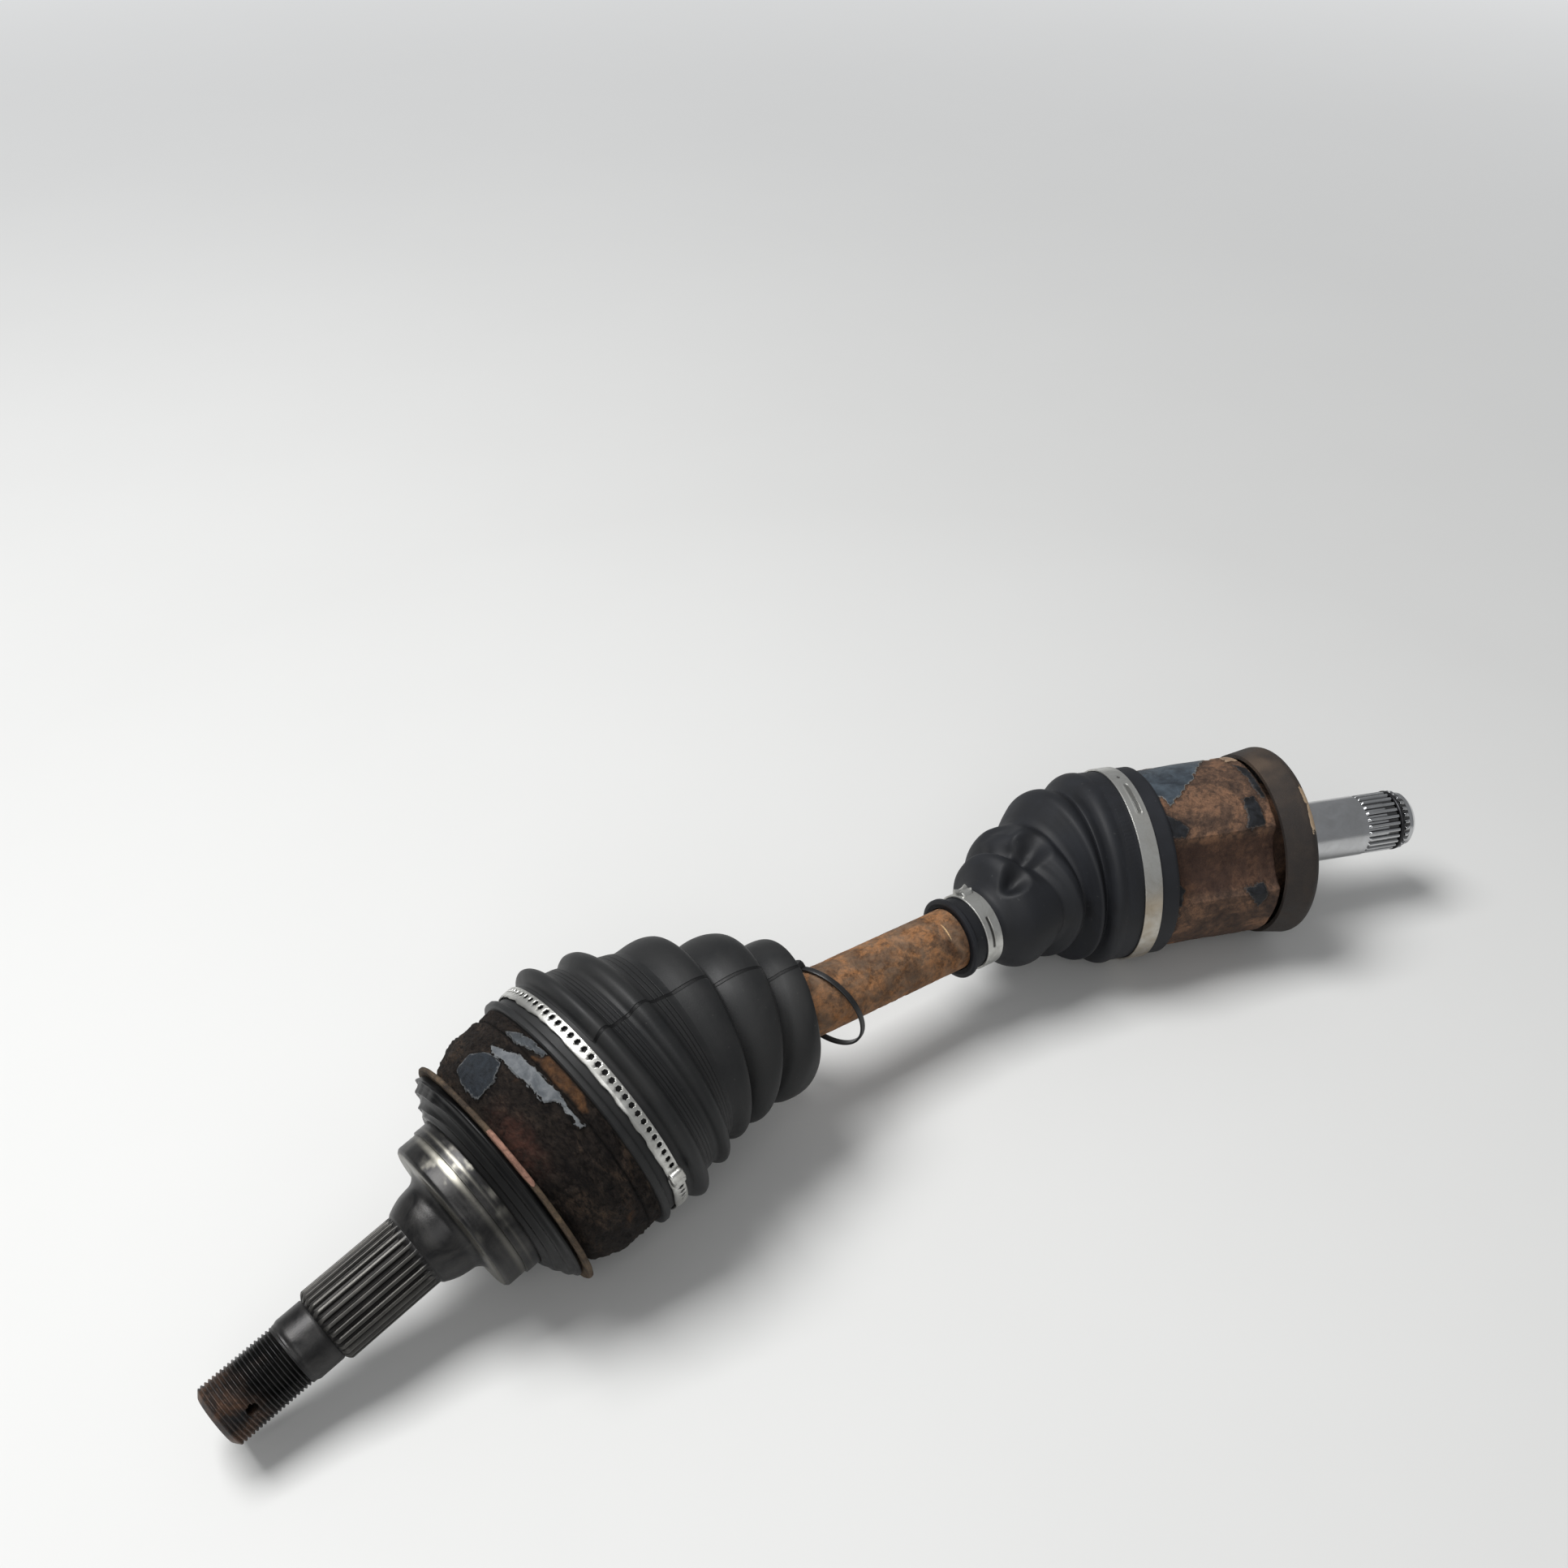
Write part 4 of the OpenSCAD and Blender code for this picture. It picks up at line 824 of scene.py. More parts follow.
def bell_piece(s):
    """Bell shell: flare, cylinder and boot seat, with rust relief, a seam groove and raised flakes of paint."""
    z = np.linspace(FLANGE_BACK + 0.05, -14, 46)
    outer = np.stack([z, bell_radius(z)], 1)
    root = [[FLANGE_BACK + 0.05, 21.0], [FLANGE_BACK + 0.05, 31.0]]
    cylinder = spread([[-13.6, 49.3], [-0.1, 49.3]], 0.32)
    profile = np.concatenate([
        root, outer, cylinder,
        spread([[-0.05, 49.2], [-0.05, 47.4], [13.9, 47.4], [13.9, 45.6], [-13.5, 45.4], [-21.5, 37.4],
                [-25.5, 21.0]], 3.0)])
    station, radius, angle = lathe(profile, 600, (130, 265))
    grid = on_bell(station, radius, angle)
    outside = (np.arange(len(profile)) < len(root) + len(outer) + len(cylinder))[:, None]
    show = smooth((radius - 40.5) / 1.0) * smooth((-0.2 - station) / 0.6) * outside
    flakes = {key: np.where(show > 0, patch(station, angle, outline, 48.5), -4.0) for key, outline in (
        ("blue", BELL_BLUE), ("grey", BELL_GREY), ("strip", BELL_STRIP))}
    orange = 0.8 * smooth(0.5 + 0.5 * patch(station, angle, BELL_ORANGE, 49) + 0.9 * rough(grid, 4.0, 73))
    orange = np.maximum(orange, 0.5 * smooth(2.0 * rough(grid, 9.0, 79) - 0.75))
    degrees = np.degrees(angle)
    reddish = bump(station, -27, 9) * bump(degrees, 208, 26) * smooth(0.7 + rough(grid, 7.0, 81))
    seam = bump(station, -5.3 + 0.25 * rough(grid, 12.0, 83), 0.75) * show
    scale = np.stack([radius * np.cos(angle), radius * np.sin(angle), station * 2.4], -1)
    relief = s.rust_relief / MM * (0.6 * rough(scale, 7.0, 89, 5) + 0.8 * np.abs(rough(scale, 4.0, 97)) - 0.5)
    painted = smooth(0.5 + np.maximum.reduce(list(flakes.values())) / 0.5)
    relief = relief * (1 - 0.7 * painted) + 0.4 * painted - 0.7 * seam - 0.1
    radius = radius + show * np.minimum(relief, 0.6)
    grid = on_bell(station, radius, angle)
    return skin("bell_shell", grid, {**flakes, "orange": orange * show, "reddish": 0.8 * reddish * show,
                                     "seam": seam * 0.9}, loop=True)


BOOT_OUTLINE = [
    (13.2, 49.4), (14.2, 49.8), (15.2, 51.4), (16.6, 53.0), (18.2, 53.6), (19.8, 53.0), (21.2, 51.0),
    (22.0, 49.0), (23.0, 48.2), (27.5, 46.9), (29.0, 46.4), (30.0, 46.6), (31.4, 47.9), (33.2, 48.9),
    (35.0, 48.5), (36.6, 46.7), (37.4, 44.4), (38.2, 43.3), (42.6, 41.4), (44.6, 40.6), (46.2, 40.9),
    (49.6, 41.9), (52.6, 42.2), (54.6, 41.6), (56.0, 39.4), (57.0, 35.8), (57.6, 33.4), (58.4, 32.4),
    (59.6, 33.0), (62.4, 35.0), (66.0, 36.8), (69.4, 37.4), (72.2, 36.8), (74.0, 34.6), (75.4, 30.8),
    (76.4, 28.0), (77.4, 26.8), (79.0, 27.6), (82.2, 30.4), (85.6, 31.8), (88.8, 32.0), (91.6, 30.8),
    (94.0, 27.8), (96.0, 23.4), (97.6, 18.8), (98.8, 16.0)]

# Stations where each boot is cut into rings, and the bodies, start, end and square ring of each ring's blend
WHEEL_BOOT_CUTS = (29.0, 44.6, 58.4)
WHEEL_BOOT_CHAIN = (("bell", "guide_ball_4", 15, 27, 21), ("guide_ball_4", "cage", 31, 42, 36.5),
                    ("cage", "guide_ball_1", 47, 56, 51.5), ("guide_ball_1", "shaft", 61, 92, 72))
GEAR_BOOT_CUTS = (21.6, 27.0)
GEAR_BOOT_CHAIN = (("housing", "roller_1", 14.0, 20.5, 18), ("roller_1", "ring_1", 22.8, 25.8, 24.3),
                   ("ring_1", "shaft", 28.4, 70, 33))


def wheel_bend(station):
    """Share of the joint's bend that the wheel end boot's middle line has taken."""
    return smooth((station - 14) / 84)


def wheel_lean(station):
    """Share of the bend that the wheel end boot's rings have taken: two at the last fold, one at the end."""
    return 2 * smooth((station - 24) / 64) - smooth((station - 88) / 10)


def nearest_rows(line, stations):
    """First row, the rows of an outline nearest to the stations, and its last row."""
    return [0] + [int(np.argmin(np.abs(line - at))) for at in stations] + [len(line) - 1]


def tube_parts(names, outer, inner, cuts, attributes):
    """Cuts a thick tube at rows into closed rings: outer rows forward, inner rows back, joined at the ends."""
    pieces = []
    for name, first, last in zip(names, cuts[:-1], cuts[1:]):
        rows = np.arange(first, last + 1)
        back = rows[::-1]
        back = back[np.unique(np.concatenate([np.arange(0, len(back), 4), [len(back) - 1]]))]
        grid = np.concatenate([outer[rows], inner[back]])
        extra = {k: np.concatenate([v[rows], v[back]]) for k, v in attributes.items()}
        pieces.append(skin(name, grid, extra, loop=True, sharp=48))
    return pieces


def wheel_boot_pieces(s):
    """Wheel end boot: lip, seat, two ribs and three leaning pleats on an outline along the bent axis."""
    profile = np.concatenate([
        spread([[0.0, 49.4], [0.0, 51.0], [0.5, 51.8], [2.2, 51.9], [3.0, 51.3], [3.3, 49.5],
                [12.9, 49.4]], 0.7),
        flowing(BOOT_OUTLINE, 0.62)])
    station, radius, angle = lathe(profile, 336)
    lip = smooth((radius - 49.5) / 1.5) * smooth((4 - station) / 1.0)
    straight = on_bell(station, radius, angle)
    radius = radius + lip * (0.35 * rough(straight, 14.0, 101) - 0.2)
    flat = np.maximum(bump(station, 25.2, 3.4), bump(station, 40.6, 3.4))
    radius = radius + 0.12 * rough(straight, 26.0, 103)
    wall = np.maximum(radius - 2.0, 13.7)
    mould = angle_gap(angle, np.radians(197.5 - 0.11 * (station - 20))) * radius
    bend, lean = wheel_bend(station), wheel_lean(station)
    outer = WHEEL_JOINT.bent(station, radius, angle, bend, lean)
    inner = WHEEL_JOINT.bent(station, np.where(station < 14, 47.5, wall), angle, bend, lean)
    cuts = nearest_rows(profile[:, 0], WHEEL_BOOT_CUTS)
    names = ["wheel_boot_1", "wheel_boot_2", "wheel_boot_3", "wheel_boot_4"]
    hide = np.where(station < 13.5, 3.0, np.clip(mould, -3, 3))
    return tube_parts(names, outer, inner, cuts, {"mould": hide, "station": station, "flat": smooth(2 * flat)})


def blend_line(joint, way, bend, lean, start, end, square):
    """Two points in metres: the boot's middle at start, and the foot of its middle at end on the normal of the
    ring at square."""
    z = np.array([start, end], float)
    first, last = joint.bent(way * z, 0 * z, 0 * z, bend(z), 0 * z)
    normal = turned(joint.hinge, joint.bend * (lean(np.array([float(square)])) - 0.5), joint.mid[None])[0]
    last = first + normal * ((last - first) @ normal)
    return tuple((first * MM).tolist()), tuple((last * MM).tolist())


def perforated_band(s):
    """Wheel end band: a sheet of cells on a cylinder, some left out as holes, thickened outward."""
    holes, across, rim = int(s.band_holes), 7, 50.1
    rows = np.array([6.2, 6.7, 7.3, 7.5, 8.6, 8.9, 10.4, 10.7, 11.3, 11.5])
    angle = np.arange(holes * across) * TAU / (holes * across)
    station, around = np.meshgrid(rows, angle, indexing="ij")
    lip = smooth((7.4 - station) / 1.2)
    wavy = value_noise(np.stack([around * 18, 0 * around, 0 * around], -1), 1.0, 7)
    rise = 0.15 * bump(station, 9.6, 3.2) - lip * (0.28 - 0.2 * wavy)
    grid = on_bell(station + 0.3 * lip * wavy, rim + rise, around)
    index = np.arange(station.size).reshape(station.shape)
    quads = np.stack([index[:-1], np.roll(index, -1, 1)[:-1], np.roll(index, -1, 1)[1:], index[1:]], -1)
    cell = np.arange(holes * across) % across
    degrees = np.degrees(angle)
    plain = np.abs(degrees - s.buckle_angle) < 5.5
    keep = np.ones(quads.shape[:2], bool)
    keep[5] = ~((cell >= 1) & (cell < 5) & ~plain)
    keep[4] = keep[6] = ~((cell >= 2) & (cell < 4) & ~plain)
    faces = quads[keep]
    obj = link("wheel_boot_band", grid.reshape(-1, 3), faces.tolist(), {"groove": 0.5 * lip, "rusted": 0 * lip})
    normal_out = np.cross(grid[0, 1] - grid[0, 0], grid[1, 0] - grid[0, 0]) @ (grid[0, 0] - WHEEL_CENTRE)
    if normal_out < 0:
        obj.data.flip_normals()
    wall = obj.modifiers.new("Sheet thickness", "SOLIDIFY")
    wall.thickness = 0.7 * MM
    wall.offset = 1.0
    return obj


def buckle_piece(s):
    """Band buckle: a hump on a rounded rectangle that narrows as it rises, with a ripple along its top."""
    u, v = np.meshgrid(np.linspace(0, TAU, 64, endpoint=False), np.linspace(0.0, 1.0, 14), indexing="xy")
    across = 3.0 * np.sign(np.cos(u)) * np.abs(np.cos(u)) ** 0.35 * (1 - 0.2 * v ** 3)
    length = 3.8 * np.sign(np.sin(u)) * np.abs(np.sin(u)) ** 0.35 * (1 - 0.3 * v ** 3)
    rise = 50.2 + 2.7 * v ** 0.7 + 0.35 * np.cos(length * 1.5) * v
    angle = np.radians(s.buckle_angle) + length / rise
    grid = on_bell(9.3 + across, rise, angle)
    return skin("wheel_band_buckle", grid, {"groove": 0.5 * bump(length, 0.6, 0.9), "rusted": 0 * rise})


# Shaft and tie

def shaft_piece(s):
    """Bare shaft: splined ends, tapers and the rusted bar, with pits where noise is low."""
    first, last = -15.9, SPAN + 12.9
    profile = np.concatenate([
        spread([[first, 0.2], [first, 11.0], [first + 1, 12.0], [31, 12.0], [40, 13.5]], 2.0),
        spread([[96, 13.5], [194, 13.5]], 0.45),
        spread([[SPAN - 40, 13.5], [SPAN - 31, 12.0], [last - 1, 12.0], [last, 11.0], [last, 0.2]], 2.0)])
    station, radius, angle = lathe(profile, 240)
    grid = on_shaft(station, radius, angle)
    seen = smooth((station - 97) / 2) * smooth((192 - station) / 2)
    pits = np.minimum(rough(grid, 4.0, 107, 5) + 0.15, 0)
    radius = radius + seen * (0.7 * pits + 0.12 * rough(grid, 1.5, 109))
    grid = on_shaft(station, radius, angle)
    wander = 0.03 * rough(grid, 5.0, 113)
    scratch = bump(station + 30 * wander, 172.0, 1.1) * bump(np.degrees(angle), 205, 45)
    return skin("rusted_shaft", grid, {"scratch": scratch})


def tie_pieces(s):
    """Loose tie: a flat strap carried round a tilted ring that rests on the top of the shaft, and its head."""
    lean, swing, ring, width, thick = np.radians(8), np.radians(20), 19.0, 2.4, 1.1
    drop = ring * np.cos(lean) - 13.5 - 0.3 - width / 2 * np.sin(np.hypot(lean, swing))
    centre = WHEEL_CENTRE + np.array([drop, 0, BOOT_END + 15]) @ SHAFT_AXES
    by_side = np.array([[np.cos(lean), 0, np.sin(lean)], [0, 1, 0], [-np.sin(lean), 0, np.cos(lean)]])
    by_down = np.array([[1, 0, 0], [0, np.cos(swing), -np.sin(swing)], [0, np.sin(swing), np.cos(swing)]])
    axes = by_down @ by_side @ SHAFT_AXES
    u = np.linspace(0, TAU, 24, endpoint=False)
    section = np.stack([np.sign(np.sin(u)) * np.abs(np.sin(u)) ** 0.5 * width / 2,
                        ring + thick / 2 + np.sign(np.cos(u)) * np.abs(np.cos(u)) ** 0.5 * thick / 2], 1)
    station, radius, angle = lathe(section, 160)
    strap = skin("tie_strap", placed(station, radius, angle, centre, axes), loop=True, sharp=60)
    u, v = np.meshgrid(np.linspace(0, TAU, 40, endpoint=False), np.linspace(0, 1, 12), indexing="xy")
    x = 2.0 * np.sign(np.cos(u)) * np.abs(np.cos(u)) ** 0.35 * (1 - 0.2 * v ** 4)
    y = 2.0 * np.sign(np.sin(u)) * np.abs(np.sin(u)) ** 0.35 * (1 - 0.2 * v ** 4)
    rise = ring + 0.5 + 3.2 * v
    head = skin("tie_head", placed(x, rise, np.radians(150) + y / rise, centre, axes), sharp=60)
    return [strap, head]


# Pieces of the gearbox end

GEAR_OUTLINE = [
    (10.6, 42.5), (12.0, 42.9), (14.5, 43.1), (17.0, 42.3), (19.0, 40.4), (20.4, 38.0), (21.4, 36.9),
    (22.6, 37.0), (25.0, 38.3), (28.0, 39.2), (30.4, 38.8), (33.0, 36.4), (36.0, 33.0), (38.6, 30.2),
    (40.4, 29.2), (42.0, 29.5), (44.6, 30.6), (47.4, 31.2), (50.2, 30.4), (53.0, 27.6), (55.4, 24.6),
    (57.0, 23.6), (58.8, 24.0), (62.0, 25.2), (65.2, 25.5), (68.4, 24.2), (71.4, 21.4), (74.0, 18.4),
    (76.4, 16.4), (79.0, 15.7)]


def gear_bend(station):
    """Share of the joint's bend that the gearbox end boot's middle line has taken."""
    return smooth((station - 11) / 65)


def gear_lean(station):
    """Share of the bend that the gearbox end boot's rings have taken: past one at the last folds, then one."""
    return 1.7 * smooth((station - 10) / 50) - 0.7 * smooth((station - 60) / 16)


def gear_boot_pieces(s):
    """Gearbox end boot: a bellows outline on the bent axis, with round dents where the rubber is sucked in."""
    profile = np.concatenate([
        spread([[-13.0, 40.6], [-13.0, 41.6], [-12.2, 42.3], [4.5, 42.3], [9.8, 42.5]], 0.8),
        flowing(GEAR_OUTLINE, 0.6),
        spread([[79.6, 15.7], [91.6, 15.7], [92.6, 16.6], [93.2, 17.6], [94.6, 17.6], [95.0, 17.0],
                [95.0, 15.0]], 0.5)])
    station, radius, angle = lathe(profile, 300)
    degrees = np.degrees(angle)
    straight = placed(station, radius, angle, np.zeros(3), np.eye(3))

    def dent(at, turn, half_length, half_turn, depth):
        return depth * smooth(1.1 - np.hypot((station - at) / half_length, (degrees - turn) / half_turn))
    lens = smooth(1.5 - np.hypot((station - 50) / 10, (degrees - 147) / 22) * 1.5)
    radius = radius + lens * (np.interp(station, [40, 50, 60], [28.6, 29.0, 26.2]) - radius)
    radius = radius - dent(51, 184, 9, 18, 7.0) - dent(67.0, 194, 6.5, 16, 5.5) + dent(65, 158, 10, 44, 2.0)
    radius = radius + dent(49, 238, 13, 46, 3.0) + dent(57, 246, 9, 58, 3.6) - dent(57, 158, 5, 34, 1.8)
    radius = radius + 0.5 * bump(degrees + 0.9 * (station - 50), 168, 4) * bump(station, 50, 8)
    radius = np.maximum(radius + 0.15 * rough(straight, 22.0, 127), 15.2)
    tick = smooth((station - 5.0) / 0.4) * smooth((8.6 - station) / 0.4) * (0.5 + 0.5 * np.sin(angle * 130))
    wall = np.maximum(radius - 1.2, 13.7)
    bend, lean = gear_bend(station), gear_lean(station)
    outer = GEARBOX_JOINT.bent(-station, radius, angle, bend, lean)
    inner = GEARBOX_JOINT.bent(-station, np.where(station < 10, 40.2, wall), angle, bend, lean)
    cuts = nearest_rows(profile[:, 0], GEAR_BOOT_CUTS)
    names = ["gear_boot_1", "gear_boot_2", "gear_boot_3"]
    return tube_parts(names, outer, inner, cuts, {"lines": tick * 0.5 * bump(degrees, 200, 55)})


def large_band_piece(s):
    """Large band: a thin ring with a slot and a small hole pressed in near the top and yellowed low down."""
    profile = spread([[-3.4, 42.62], [-3.4, 43.1], [-3.1, 43.38], [4.3, 43.38], [4.6, 43.1],
                      [4.6, 42.62]], 0.35)
    station, radius, angle = lathe(profile, 420)
    out = smooth((radius - 43.2) / 0.1)
    degrees = np.degrees(angle)
    along = (degrees - 188) * np.radians(1) * 43.3
    slot = smooth((1.1 - np.hypot(np.maximum(np.abs(along) - 8.0, 0), station - 1.2)) / 0.35) * out
    rim = smooth((1.9 - np.hypot(np.maximum(np.abs(along) - 8.0, 0), station - 1.2)) / 0.4) * out - slot
    dot = smooth((0.9 - np.hypot((degrees - 168) * np.radians(1) * 43.3, station - 0.8)) / 0.3) * out
    radius = radius - 0.35 * slot - 0.35 * dot + 0.1 * rim
    grid = on_housing(station, radius, angle)
    # yellower towards the bottom, carried in the rusted attribute
    yellow = 0.6 * smooth((degrees - 232) / 25) * smooth(0.6 + rough(grid, 14.0, 131))
    # groove paints shade in the slot and the pressed hole
    return skin("gear_large_band", grid, {"groove": 0.5 * slot + 0.9 * dot, "rusted": yellow}, loop=True)


def small_band_pieces(s):
    """Small band on the boot's collar, with a long slot, and its folded ear."""
    first = SPAN - GEAR_BOOT_END + 8
    profile = spread([[first, 16.02], [first, 16.5], [first + 0.3, 16.8], [first + 7.7, 16.8],
                      [first + 8, 16.5], [first + 8, 16.02]], 0.35)
    station, radius, angle = lathe(profile, 300)
    out = smooth((radius - 16.6) / 0.1)
    degrees = np.degrees(angle)
    along = (degrees - 236) * np.radians(1) * 16.8
    slot = smooth((0.75 - np.hypot(np.maximum(np.abs(along) - 6.5, 0), station - first - 3.2)) / 0.3) * out
    radius = radius - 0.3 * slot
    # groove paints shade in the slot
    band = skin("gear_small_band", on_shaft(station, radius, angle),
                {"groove": 0.9 * slot, "rusted": 0 * radius}, loop=True)
    u, v = np.meshgrid(np.linspace(0, TAU, 48, endpoint=False), np.linspace(0, 1, 14), indexing="xy")
    x = 3.2 * np.sign(np.cos(u)) * np.abs(np.cos(u)) ** 0.45
    y = 4.2 * np.sign(np.sin(u)) * np.abs(np.sin(u)) ** 0.6 * (1 - 0.12 * v ** 4)
    rise = 16.3 + v * (1.1 + 1.9 * bump(y, -1.9, 2.6) + 1.3 * bump(y, 2.6, 2.2))
    grid = on_shaft(first + 4 + x, rise, np.radians(s.ear_angle) + y / rise)
    # groove paints shade in the fold between the ear's two humps
    ear = skin("gear_band_ear", grid, {"groove": 0.9 * bump(y, 0.6, 1.2), "rusted": 0 * rise})
    return [band, ear]


def lobed_radius(angle):
    """Outside of the lobes: a circle cut by three hollows, each the near side of a cylinder beside the axis."""
    edge = np.sqrt(40 ** 2 - 14.5 ** 2)
    away = edge + np.sqrt(30 ** 2 - 14.5 ** 2)
    gap = np.abs(angle_gap(angle * 3, 0.0)) / 3
    under = 30 ** 2 - (away * np.sin(gap)) ** 2
    return np.minimum(40.0, np.where(under > 0, away * np.cos(gap) - np.sqrt(np.maximum(under, 0)), 40.0))


HOUSE_BLUE = [(11, 168), (13, 152), (24, 146), (40, 140), (49, 136), (51, 142), (34.7, 174), (24.6, 187),
              (16.7, 196), (15.8, 188), (11, 186)]
HOUSE_TAN = [(52, 138), (57, 134), (64, 138), (62, 158), (56, 160), (57, 146)]
HOUSE_STREAK = [(56, 164), (61, 172), (61.2, 189), (61, 202), (58.5, 196), (57.5, 180)]
HOUSE_RECT = [(50.1, 198), (56.4, 197), (57.5, 209), (56.6, 218), (47.6, 219), (50.3, 210)]
HOUSE_RECT_LOW = [(45.6, 257), (55.2, 256), (56.2, 265), (52.5, 272), (47.1, 262)]
HOUSE_LIP = [(11, 198), (14.8, 202), (19.3, 207), (22.5, 213), (19.2, 218), (11, 216)]
HOUSE_LIP_LOW = [(11, 240), (14, 243), (18.2, 254), (15, 262), (11, 262)]


def housing_piece(s):
    """Lobed housing shell: a round mouth set back under the boot's collar so that the folds have room at full
    plunge, three hollows behind the boot's lip, rounded back, boss for the cover, and an open cavity, with rust
    relief and raised scraps of paint."""
    mouth = 2.5
    z = np.concatenate([[mouth, mouth + 0.6], np.linspace(mouth + 1.2, 8.4, 5), np.linspace(8.8, 60.8, 104)])
    outer = np.stack([z, np.full(len(z), 40.0)], 1)
    outer[0, 1] = 39.0
    a = np.linspace(0, np.pi / 2, 9)[1:]
    back = np.stack([62.5 - 1.5 * (1 - np.sin(a)), 40 - 1.5 * (1 - np.cos(a))], 1)
    rest = spread([[62.5, 33.0], [62.5, 28.2], [77.6, 26.0], [77.7, 20.0], [79.6, 20.0], [81.6, 18.0],
                   [81.6, 12.0]], 1.6)
    cavity = spread([[50.0, 12.0], [50.0, 30.0], [39.0, 36.5], [mouth, 37.4]], 4.0)
    profile = np.concatenate([outer, back, rest, cavity])
    station, radius, angle = lathe(profile, 560, (130, 280))
    skin_row = (np.arange(len(profile)) < len(outer) + len(back))[:, None]
    lobes = lobed_radius(angle)
    hollow = smooth((station - 9.0) / 0.6) * skin_row
    inset = (40.0 - lobes) * hollow
    radius = np.where(skin_row, np.maximum(radius - inset, 28.5), radius)
    cut = (np.arange(len(profile)) >= len(outer) + len(back) + len(rest))[:, None]
    radius = np.where(cut, np.minimum(radius, lobes - 2.2), radius)
    grid = on_housing(station, radius, angle)
    seen = smooth((station - 9.5) / 1.0) * skin_row
    hidden = (seen < 0.02)
    flakes = {key: np.maximum.reduce([patch(station, angle, o, 40) for o in outlines]) for key, outlines in (
        ("blue", [HOUSE_BLUE]), ("tan", [HOUSE_TAN]),
        ("black", [HOUSE_STREAK, HOUSE_RECT, HOUSE_RECT_LOW, HOUSE_LIP, HOUSE_LIP_LOW]))}
    front = np.maximum(0.8 * (12.6 + 3.5 * rough(grid, 9.0, 173) - station), -4)
    flakes["black"] = np.maximum(flakes["black"], front)
    flakes = {key: np.where(hidden, -4.0, value) for key, value in flakes.items()}
    painted = smooth(0.5 + np.maximum.reduce(list(flakes.values())) / 0.6)
    relief = s.rust_relief / MM * 0.4 * rough(grid, 6.0, 179, 5)
    radius = radius + seen * (relief * (1 - 0.7 * painted) + 0.4 * painted - 0.25)
    grid = on_housing(station, radius, angle)
    return skin("lobed_housing", grid, {**flakes, "shadowed": smooth((inset - 1.0) / 3.0)}, loop=True)


def cover_piece(s):
    """Dust cover: a sheet cup with a rounded back edge, a little out of round, with residue on its back."""
    a = np.linspace(0, np.pi / 2, 9)
    outside = np.stack([75.6 + 4 * np.sin(a), 39.05 + 4 * np.cos(a)], 1)
    within = np.stack([75.6 + 2.2 * np.cos(a), 39.05 + 2.2 * np.sin(a)], 1)
    profile = np.concatenate([
        spread([[COVER_BACK, 20.1], [77.8, 20.1], [77.8, 38.8]], 1.0), within,
        spread([[75.4, 41.2], [COVER_Z, 39.4], [COVER_Z, 41.2], [75.4, 43.05]], 1.0), outside,
        spread([[COVER_BACK, 38.6], [COVER_BACK, 20.4]], 0.8)])
    station, radius, angle = lathe(profile, 300)
    grid = on_housing(station, radius, angle)
    radius = radius - smooth((radius - 36) / 3) * (0.15 + 0.15 * rough(grid, 24.0, 181))
    grid = on_housing(station, radius, angle)
    degrees = np.degrees(angle)
    rim = smooth((station - 75.2) / 1.6) * smooth((radius - 17) / 2)
    residue = rim * bump(degrees, 214, 46) * (0.55 + 0.5 * rough(grid, 6.0, 191))
    # lighter on top: dust, and painted light where the top is turned to the lamps
    dust_and_top_light = 0.7 * bump(degrees, 176, 40) * smooth(0.6 + 0.8 * rough(grid, 12.0, 193))
    return skin("dust_cover", grid, {"residue": 6 * residue - 2.2, "dust_and_top_light": dust_and_top_light}, loop=True)


def journal_piece(s):
    """Journal and round stub: ground cylinder, relief, core of the spline and bevelled tip as one outline."""
    profile = spread([[78.0, 0.2], [78.0, 17.0], [81.0, 17.4], [82.6, 14.6], [83.6, 13.85], [120.6, 13.85],
                      [121.6, 12.4], [142.1, 12.3], [144.1, 12.3], [146.1, 10.3], [146.1, 3.0],
                      [144.6, 0.2]], 0.8)
    station, radius, angle = lathe(profile, 168)
    marks = 0.012 * np.sin(station * 12.0) * smooth(station - 84) * smooth(120 - station)
    radius = np.maximum(radius + marks, 0)
    grid = on_housing(station, radius, angle)
    dull = smooth((84 - station) / 1.5)
    return skin("gearbox_journal", grid, {"groove": 0.7 * dull, "rusted": 0.5 * dull})


def side_spline_piece(s):
    """Gearbox spline: root plus tooth height times a flat-topped wave of the angle, with a circlip groove."""
    rows = spread([[120.8, 0], [122.2, 1], [136.6, 1], [137.0, 0.55], [139.2, 0.55], [139.6, 1], [140.8, 1],
                   [142.3, 0.1]], 0.4)
    station, rise, angle = lathe(rows, int(s.side_teeth) * 14)
    tooth = smooth((np.cos(angle * s.side_teeth) + 0.45) / 0.9)
    radius = 12.35 + 1.25 * rise * tooth
    clip = smooth((station - 136.7) / 0.3) * smooth((139.5 - station) / 0.3)
    radius = np.where(clip > 0.5, np.minimum(radius, 12.4), radius)
    grid = on_housing(station, radius, angle)
    # groove paints shade between the teeth and in the circlip groove
    groove = 0.8 * (1 - tooth) + 0.3 * clip
    return skin("gearbox_spline", grid, {"groove": groove, "rusted": 0 * radius}, sharp=50)


# Add-on

